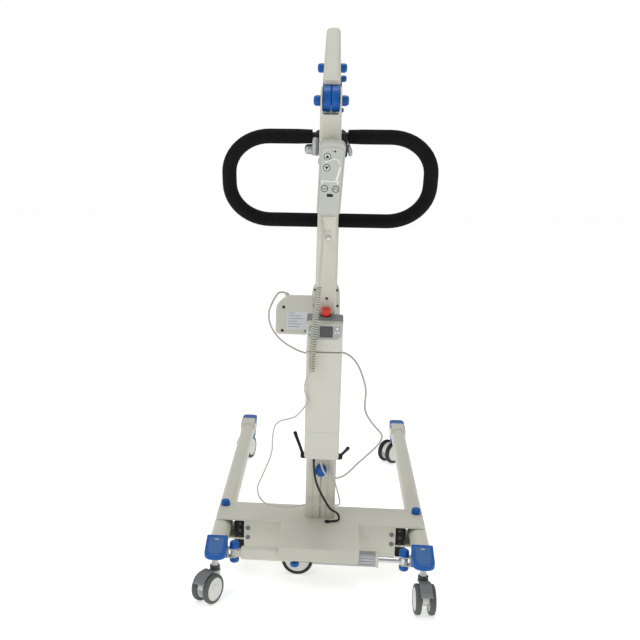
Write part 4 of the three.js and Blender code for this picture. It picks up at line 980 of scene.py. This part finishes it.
def handle_clamps():
    left = Solid()
    left.prism(softened([(-23, 903, 3), (-33.6, 905, 4), (-33.6, 882, 5), (-23, 880, 3)], 3, 5),
               -10, 12, "Y", round_off=2.4, steps=4)
    left.lathe([(7.4, 886), (8, 888), (6.9, 889.5), (6.9, 917), (6.2, 920), (4, 922.4), (0.4, 923)],
               Matrix.Translation((-30.6, -19.2, 0)), 36)
    left.lathe([(9, 0.4), (10.2, 1.4), (10.6, 4), (10.6, 12), (9.9, 15.4), (7.8, 18), (4.4, 19.3),
                (0.4, 19.5)], facing(WORLD, -33.4, 0, 893, (-1, 0, 0)), 44)
    left.piece("handle_clamp_left_finish", MAST, ZINC, "mast", ["handle_clamp_left"])
    shoe = Solid()
    wedge = [(-22.8, 932, 2), (-28, 930, 4), (-34, 922, 4), (-34, 906, 3), (-22.8, 904, 2)]
    shoe.prism(softened(wedge, 3, 5), -15, 15, "Y", round_off=2, steps=4)
    carve_handle_bore(shoe.piece("handle_shoe_left", MAST, BLACK, "mast"))
    right = Solid()
    body = [(22.8, 933, 2), (29, 931, 5), (36.2, 923, 4), (36.4, 884, 4), (32, 880, 3),
            (22.8, 880, 2)]
    right.prism(softened(body, 3, 5), -22, 15, "Y", round_off=2, steps=4)
    carve_handle_bore(right.piece("handle_clamp_right_finish", MAST, BLACK, "mast",
                                  ["handle_clamp_right"]))
    lever = Solid()
    grip = [(36.8, 13, 3), (41, 14, 4), (47.4, -2, 6), (46, -10, 5), (40, -11, 4), (36.8, 0, 3)]
    lever.prism(softened(grip, 3, 6), -7, 7, "Y", round_off=2.6, steps=4)
    lever.lathe([(4, 28.8), (4, 37)], facing(WORLD, 0, 0, 0, RIGHTWARD), 24)
    lever.piece("handle_lever_finish", local_frame(MAST, 0, 0, HANDLE_TOP - 30), ZINC, "tilt_lever",
                ["handle_lever"], sharp=55)


# ---------------------------------------------------------------- lift actuator
def build_actuator():
    gear = Solid()
    outline = [(-33, 26, 7), (33, 26, 7), (33, 74, 30), (30, 130, 26), (-30, 130, 26), (-33, 74, 30)]
    gear.prism(softened(outline, 6, 6), -31, 31, "Y", round_off=5, steps=5)
    eye = [(-14, 30), (-14, 0)] + arc(0, 0, 14, 180, 360, 14) + [(14, 0), (14, 30)]
    gear.prism(eye, -17, 17, "X", round_off=1.2)
    motor = [(-114, 4, 9), (-114, 72, 12), (-90, 95, 12), (-28, 95, 7), (-28, 26, 7),
             (-42, 26, 6), (-42, 4, 6)]
    gear.prism(softened(motor, 6, 6), -34, 28, "Y", round_off=5, steps=5)
    gear.piece("actuator_shell", LIFT, SHELL, "lift_actuator", ["actuator_housing"], "plastic_cream",
               sharp=50)

    pits = Solid()
    spots = [(-25, 108), (25, 108), (-27, 72), (27, 72)]
    for x, z in spots:
        pits.lathe([(2.6, 0), (2.9, 0.3), (2.9, 0.5), (0.3, 0.35)],
                   facing(WORLD, x, -31, z, REARWARD), 20)
    for x, z in ((-96, 66), (-98, 12)):
        pits.lathe([(3, 0), (3.4, 0.3), (3.4, 0.6), (0.3, 0.35)],
                   facing(WORLD, x, -34, z, REARWARD), 20)
    pits.piece("actuator_screws", LIFT, BLACK, "lift_actuator")
    plate = Solid().prism(rounded(-88, -42, 15, 56, 1.5, 3), -33.5, -34.5, "Y")
    plate.piece("actuator_plate", LIFT, LABEL, "lift_actuator")
    bars = Solid()
    for i, length in enumerate((16, 30, 34, 22, 32, 26)):
        z = 52 - i * 6.2
        bars.prism(rounded(-85, -85 + length, z, z + 1.3, 0.6, 2), -34.3, -34.8, "Y")
    bars.piece("actuator_plate_bars", LIFT, LABEL_BAR, "lift_actuator")

    top = 418
    sleeve = Solid().lathe([
        (25, 122.5), (25, top - 16), (25.4, top - 15), (27, top - 13), (27, top - 2), (26, top - 0.4),
        (12.6, top), (12.4, 134), (6, 134),
    ], LIFT, 56)
    sleeve.piece("lift_sleeve", WORLD, ALLOY, "lift_actuator", ["outer_tube"], sharp=45)
    rod = Solid()
    rod.lathe([(10.2, LIFT_LENGTH - 338), (11, LIFT_LENGTH - 337), (11, LIFT_LENGTH - 24),
               (9.5, LIFT_LENGTH - 20)], LIFT, 44)
    eye = [(-9, -26), (9, -26), (12, -8)] + arc(0, 0, 12, -20, 200, 18) + [(-12, -8)]
    rod.prism(softened(eye, 0.5, 1), -6, 6, "X",
              local_frame(LIFT, 0, 0, LIFT_LENGTH), round_off=0.8, steps=2)
    rod.piece("lift_rod_finish", WORLD, STEEL, "lift_rod_body", ["lift_rod"])


# ---------------------------------------------------------------- boom
def boom_rings(half_width, half_height, corner, start, tail):
    """Sections along the boom: straight from its root, round the bend, then a short tail."""
    section = rounded(-half_width, half_width, -half_height, half_height, corner, 6)

    def place(y, z, pitch):
        return [Vector((a, y - math.sin(pitch) * b, z + math.cos(pitch) * b)) for a, b in section]

    rings = [place(start, BOOM_AXIS_Z, 0)]
    turn = math.radians(90 + BOOM_RISE)
    for i in range(BEND_STEPS + 1):
        a = turn * i / BEND_STEPS
        rings.append(place(BOOM_STRAIGHT + BOOM_BEND * math.sin(a),
                           BOOM_AXIS_Z - BOOM_BEND * (1 - math.cos(a)), -a))
    rings.append(place(TIP_LOCAL.y + math.cos(turn) * tail, TIP_LOCAL.z - math.sin(turn) * tail, -turn))
    return rings


def build_boom():
    solid = Solid()
    outside = solid.rows(boom_rings(19, 30, 12, BOOM_ROOT, 26))
    inside = solid.rows(boom_rings(16, 27, 9, BOOM_ROOT - 0.01, 26.01))
    for end in (0, -1):
        solid.band(outside[end], inside[end])
    boom = solid.piece("boom_tube_finish", BOOM, IVORY, "boom", ["boom_tube"])
    carve(boom, Solid().prism(rounded(-14, 14, 270, 378, 6, 5), -45, -5, "Z"), BOOM)
    heel = Solid().prism(rounded(-18, 18, COVER_TOP + 0.2, 39.7, 5.5, 5), 20, 60, "Y",
                         round_off=2.5, steps=4)
    heel.piece("boom_heel", BOOM, IVORY, "boom")

    for side, label in ((-1, "left"), (1, "right")):
        half = Solid()
        outline = (
            arc(0, 0, 23, 160, 285, 14)
            + [(BOOM_ROOT - 0.4, -19.4), (BOOM_ROOT - 0.4, COVER_TOP), (26, COVER_TOP),
               (10, COVER_TOP - 0.4), (0, COVER_TOP - 2), (-9, 24), (-16.5, 17)]
        )
        half.prism(outline, side * 0.35, side * 18, "X", round_off=2.6, steps=4)
        half.piece(f"hub_cover_{label}", BOOM, BLUE, "boom",
                   ["hub_cover"] if side < 0 else [], sharp=50)
        seat = facing(BOOM, side * 19.3, *LIFT_PIN, (side, 0, 0))
        cap = dome(Solid(), seat, 11, 15)
        cap.lathe([(7, -11), (7, 1)], seat, 24)
        cap.piece(f"lift_pin_{label}_finish", WORLD, BLUE, "boom", [f"lift_pin_{label}"])

    latch = Solid().lathe([
        (4, -13.5), (4, 0.4), (6.2, 0.6), (7, 1.4), (7.2, 6), (6.8, 9.5), (5.4, 11.6), (3, 12.4),
        (0.3, 12.5),
    ], facing(BOOM, 19, *LATCH_SPOT, RIGHTWARD), 36)
    latch.piece("latch_knob", WORLD, BLUE, "latch", ["pull_pin"])
    tab = Solid().prism(softened([(-3.4, 2, 2), (-3.4, -21, 3), (3.4, -21, 3), (3.4, 2, 2)], 2),
                        19.5, 22, "X", local_frame(BOOM, 0, *LATCH_SPOT), round_off=0.6)
    tab.piece("latch_tab", WORLD, RED, "latch")


def build_spreader():
    hanger = Solid()
    hanger.lathe([(13, -9.8), (13, 9.8)], facing(WORLD, 0, 0, 0, RIGHTWARD), 36)
    hanger.lathe([(5.9, -18.7), (5.9, 18.7)], facing(WORLD, 0, 0, 0, RIGHTWARD), 24)
    hanger.lathe([
        (12, -105.6), (13, -104.6), (13, -101), (12, -100), (8, -99.4), (8, -68.6), (11, -67.6),
        (12, -66), (12, -60.6), (11, -59.4), (8, -58.2), (8, -2),
    ], segments=40)
    hanger.piece("swivel_hanger_finish", HANG, STEEL, "hanger", ["swivel_hanger"])
    half = [(-202, 22), (-210, 14), (-210, 0), (-198, -14), (-172, -15.5), (-140, -8), (-90, 1),
            (-40, 6), (0, 7)]
    points = half + [(-y, z) for y, z in reversed(half[:-1])]
    path = smooth_path([(0, y, z) for y, z in points], 8)
    bar = stepped_tube(path, 9, 1.6, 28)
    bar.lathe([(8.3, -8), (16, -8.4), (17, -7), (17, 17.6), (16, 18.8), (8.3, 18.6)], segments=48)
    bar.piece("spreader_bar_finish", SPREADER, IVORY, "spreader", ["spreader_bar"], sharp=50)
    balls = Solid()
    for side in (-1, 1):
        balls.lathe([(2, -10), (6, -9), (9, -6), (10.2, -2), (10.2, 1), (8.4, 5), (5, 7.4),
                     (0.5, 8.2)], facing(WORLD, 0, side * 201, 22.5, UPWARD), 32)
    balls.piece("spreader_hook_ends", SPREADER, BLACK, "spreader")


# ---------------------------------------------------------------- cables
def build_cables():
    handset_cables()
    motor_cable()
    leg_drive_lead()


def handset_cables():
    cable("handset_cord_top", [(-14, -60, 773), (-12, -67, 742), (-10, -70, 716), (-12, -84, 672),
                               (-14, -92, 640), (-15, -97, 622), (-16, -98, 612)], 1.8, CORD, "mast")
    coil = []
    for i in range(COIL_TURNS * 12 + 1):
        t = i / (COIL_TURNS * 12)
        a = 2 * math.pi * COIL_TURNS * t
        x = -15 - 10.5 * min(1, t * 1.25) ** 0.8
        coil.append(Vector((x + 5.2 * math.cos(a), -98.5 + 5.2 * math.sin(a),
                            COIL_TOP + (COIL_BOTTOM - COIL_TOP) * t)))
    # The coil's darker colour is painted shade between its turns.
    Solid().rings(tube_rings(coil, 1.7, 8)).piece("handset_coil", MAST, COIL, "mast")
    low_loop = in_frame(MAST, BASE, [(-144, -60, 175), (-124, -62, 159), (-76, -76, 159),
                                     (-29, -92, 174), (30, -92, 175), (46, -74, 177)])
    cable("handset_cord_low", [(-22, -98, 425), (-31, -95, 416), (-38, -92, 400), (-41, -91, 380),
                               (-39, -91, 366), (-34, -91, 352), (-32, -91, 347), (-38, -91, 336),
                               (-45, -91, 325), (-60, -90, 307), (-76, -90, 300), (-92, -90, 295),
                               (-104, -90, 284), (-109, -90, 268), (-111, -89, 246), (-114, -85, 205),
                               (-133, -80, 148), (-145, -80, 113), *low_loop, (31, -42, 119),
                               (20, -42, 160), (18, -42, 200)], 1.8, CORD, "mast")


def motor_cable():
    """From the actuator's motor, round the mast and up into the battery's socket."""
    start = in_frame(MAST, LIFT, [(-88, -14, 92), (-93, -15, 99), (-102, -18, 101), (-112, -26, 96)])
    rest = [(-125, 66, 510), (-130, 64, 490), (-127, 62, 466), (-114, 60, 441), (-90, 54, 420),
            (-50, 44, 404), (-10, 38, 402), (36, 36, 410), (60, 34, 402), (79, 29, 380),
            (93, 23, 345), (98, 20, 319), (97, 12, 283), (104, 4, 264), (118, -3, 246),
            (134, -9, 230), (138, -12, 218), (128, -20, 202), (106, -31, 182), (85, -42, 166),
            (64, -54, 148), (48, -61, 139), (30, -64, 136), (14, -62, 142), (3, -56, 156),
            (-2, -50, 178), (-2, -50, 196)]
    cord = cable("motor_cable", start + rest, 2.3, CORD, None)
    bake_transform(cord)
    relief = Solid().lathe([(5.4, -4), (5.4, 3), (4.6, 4), (4.6, 6), (4, 7), (4, 9), (3.1, 10.6)],
                           facing(LIFT, -87, -14, 91, (-0.45, 0, 0.9)), 28)
    relief.piece("motor_cable_relief", WORLD, CORD, "lift_actuator", slot="plastic_cream")


def leg_drive_lead():
    """Black lead that leaves a plug under the battery and enters the cover plate."""
    plug = Solid().lathe([(4.6, 0), (5.2, 1.2), (5.2, 15), (4.2, 19), (3, 21), (3, 27), (1, 27.5)],
                         facing(MAST, -17, -52, 197, DOWNWARD), 28)
    plug.piece("leg_drive_plug", WORLD, BLACK, "mast")
    grommet = Solid().lathe([(6, -0.5), (6.4, 0.2), (6.4, 2.6), (5.4, 4), (3.4, 4.8), (0.4, 5)],
                            local_frame(BASE, 18, -84, PLATE_TOP + 0.3), 32)
    grommet.piece("lead_grommet", WORLD, BLACK, "chassis")
    tail = in_frame(MAST, BASE, [(41, -67, 146), (45.5, -71, 136), (42, -77, 132.4),
                                 (31, -82, 131.8), (20, -84, 131.7)])
    lead = cable("leg_drive_lead", [(-17, -52, 176), (-16.5, -57, 160), (-12, -60, 128), (-4, -61, 104),
                                    (8, -63, 80), (23, -64, 54), *tail], 2.5, BLACK, None, sharp=60)
    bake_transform(lead)


# ---------------------------------------------------------------- stage, light and camera
def area_light(name, spot, target, size, power):
    data = bpy.data.lights.new(name, "AREA")
    data.shape = "RECTANGLE"
    data.size = data.size_y = size
    data.energy = power
    lamp = bpy.data.objects.new(name, data)
    bpy.context.scene.collection.objects.link(lamp)
    lamp.location = spot
    lamp.rotation_euler = (Vector(target) - Vector(spot)).to_track_quat("-Z", "Y").to_euler()


def build_stage():
    floor = Solid()
    corners = ((-9, -9), (9, -9), (9, 9), (-9, 9))
    floor.mesh.faces.new([floor.mesh.verts.new((x, y, 0)) for x, y in corners])
    paper = finish_material("studio_floor", "fafafa", (0.7, 0.85), grain=60, depth=0.0001, blotch=0.002)
    set_inputs(paper.node_tree.nodes["Principled BSDF"],
               {"Emission Color": (1, 1, 1, 1), "Emission Strength": 0.5})
    floor.piece("studio_floor", WORLD, paper, None)
    world = bpy.data.worlds.new("studio")
    world.use_nodes = True
    nodes, links = world.node_tree.nodes, world.node_tree.links
    set_inputs(nodes["Background"], {"Color": (1, 1, 1, 1)})
    rays = nodes.new("ShaderNodeLightPath")
    strength = remap(nodes, links, rays.outputs["Is Camera Ray"], 0.5, 1.0, 0.0, 1.0)
    links.new(strength, nodes["Background"].inputs["Strength"])
    bpy.context.scene.world = world
    area_light("key", (-2.2, -2.6, 3.2), (0, 0.1, 0.6), 1.2, 28)
    area_light("fill", (2.8, -2.2, 1.8), (0, 0.1, 0.5), 1.2, 5)
    area_light("overhead", (0, 0.6, 4.2), (0, 0.3, 0), 1.8, 40)
    bpy.context.scene.view_settings.view_transform = "Standard"


def build_camera():
    data = bpy.data.cameras.new("camera")
    data.sensor_width = 36
    data.lens = CAMERA_LENS
    data.shift_x, data.shift_y = CAMERA_SHIFT
    data.clip_end = 50
    camera = bpy.data.objects.new("camera", data)
    bpy.context.scene.collection.objects.link(camera)
    camera.location = BASE @ Vector(CAMERA_SPOT)
    camera.rotation_euler = (
        Matrix.Rotation(math.radians(CAMERA_YAW), 4, "Z")
        @ Matrix.Rotation(math.radians(90 - CAMERA_PITCH), 4, "X")
        @ Matrix.Rotation(math.radians(CAMERA_ROLL), 4, "Z")
    ).to_euler()
    bpy.context.scene.camera = camera


keep_cad_nodes()
build_base()
for _side, _label in ((-1, "left"), (1, "right")):
    leg_tube(_side, _label)
    rear_cap(_side, _label)
    front_cap(_side, _label)
    link_pin(_side, _label)
build_leg_drive()
for _label in CASTERS:
    caster(_label)
build_mast_fittings()
clamp_lever(-1, 0, "left")
clamp_lever(1, -100, "right")
socket_knob()
build_control_box()
build_handset()
build_handle()
build_actuator()
build_boom()
build_spreader()
build_cables()
build_stage()
build_camera()
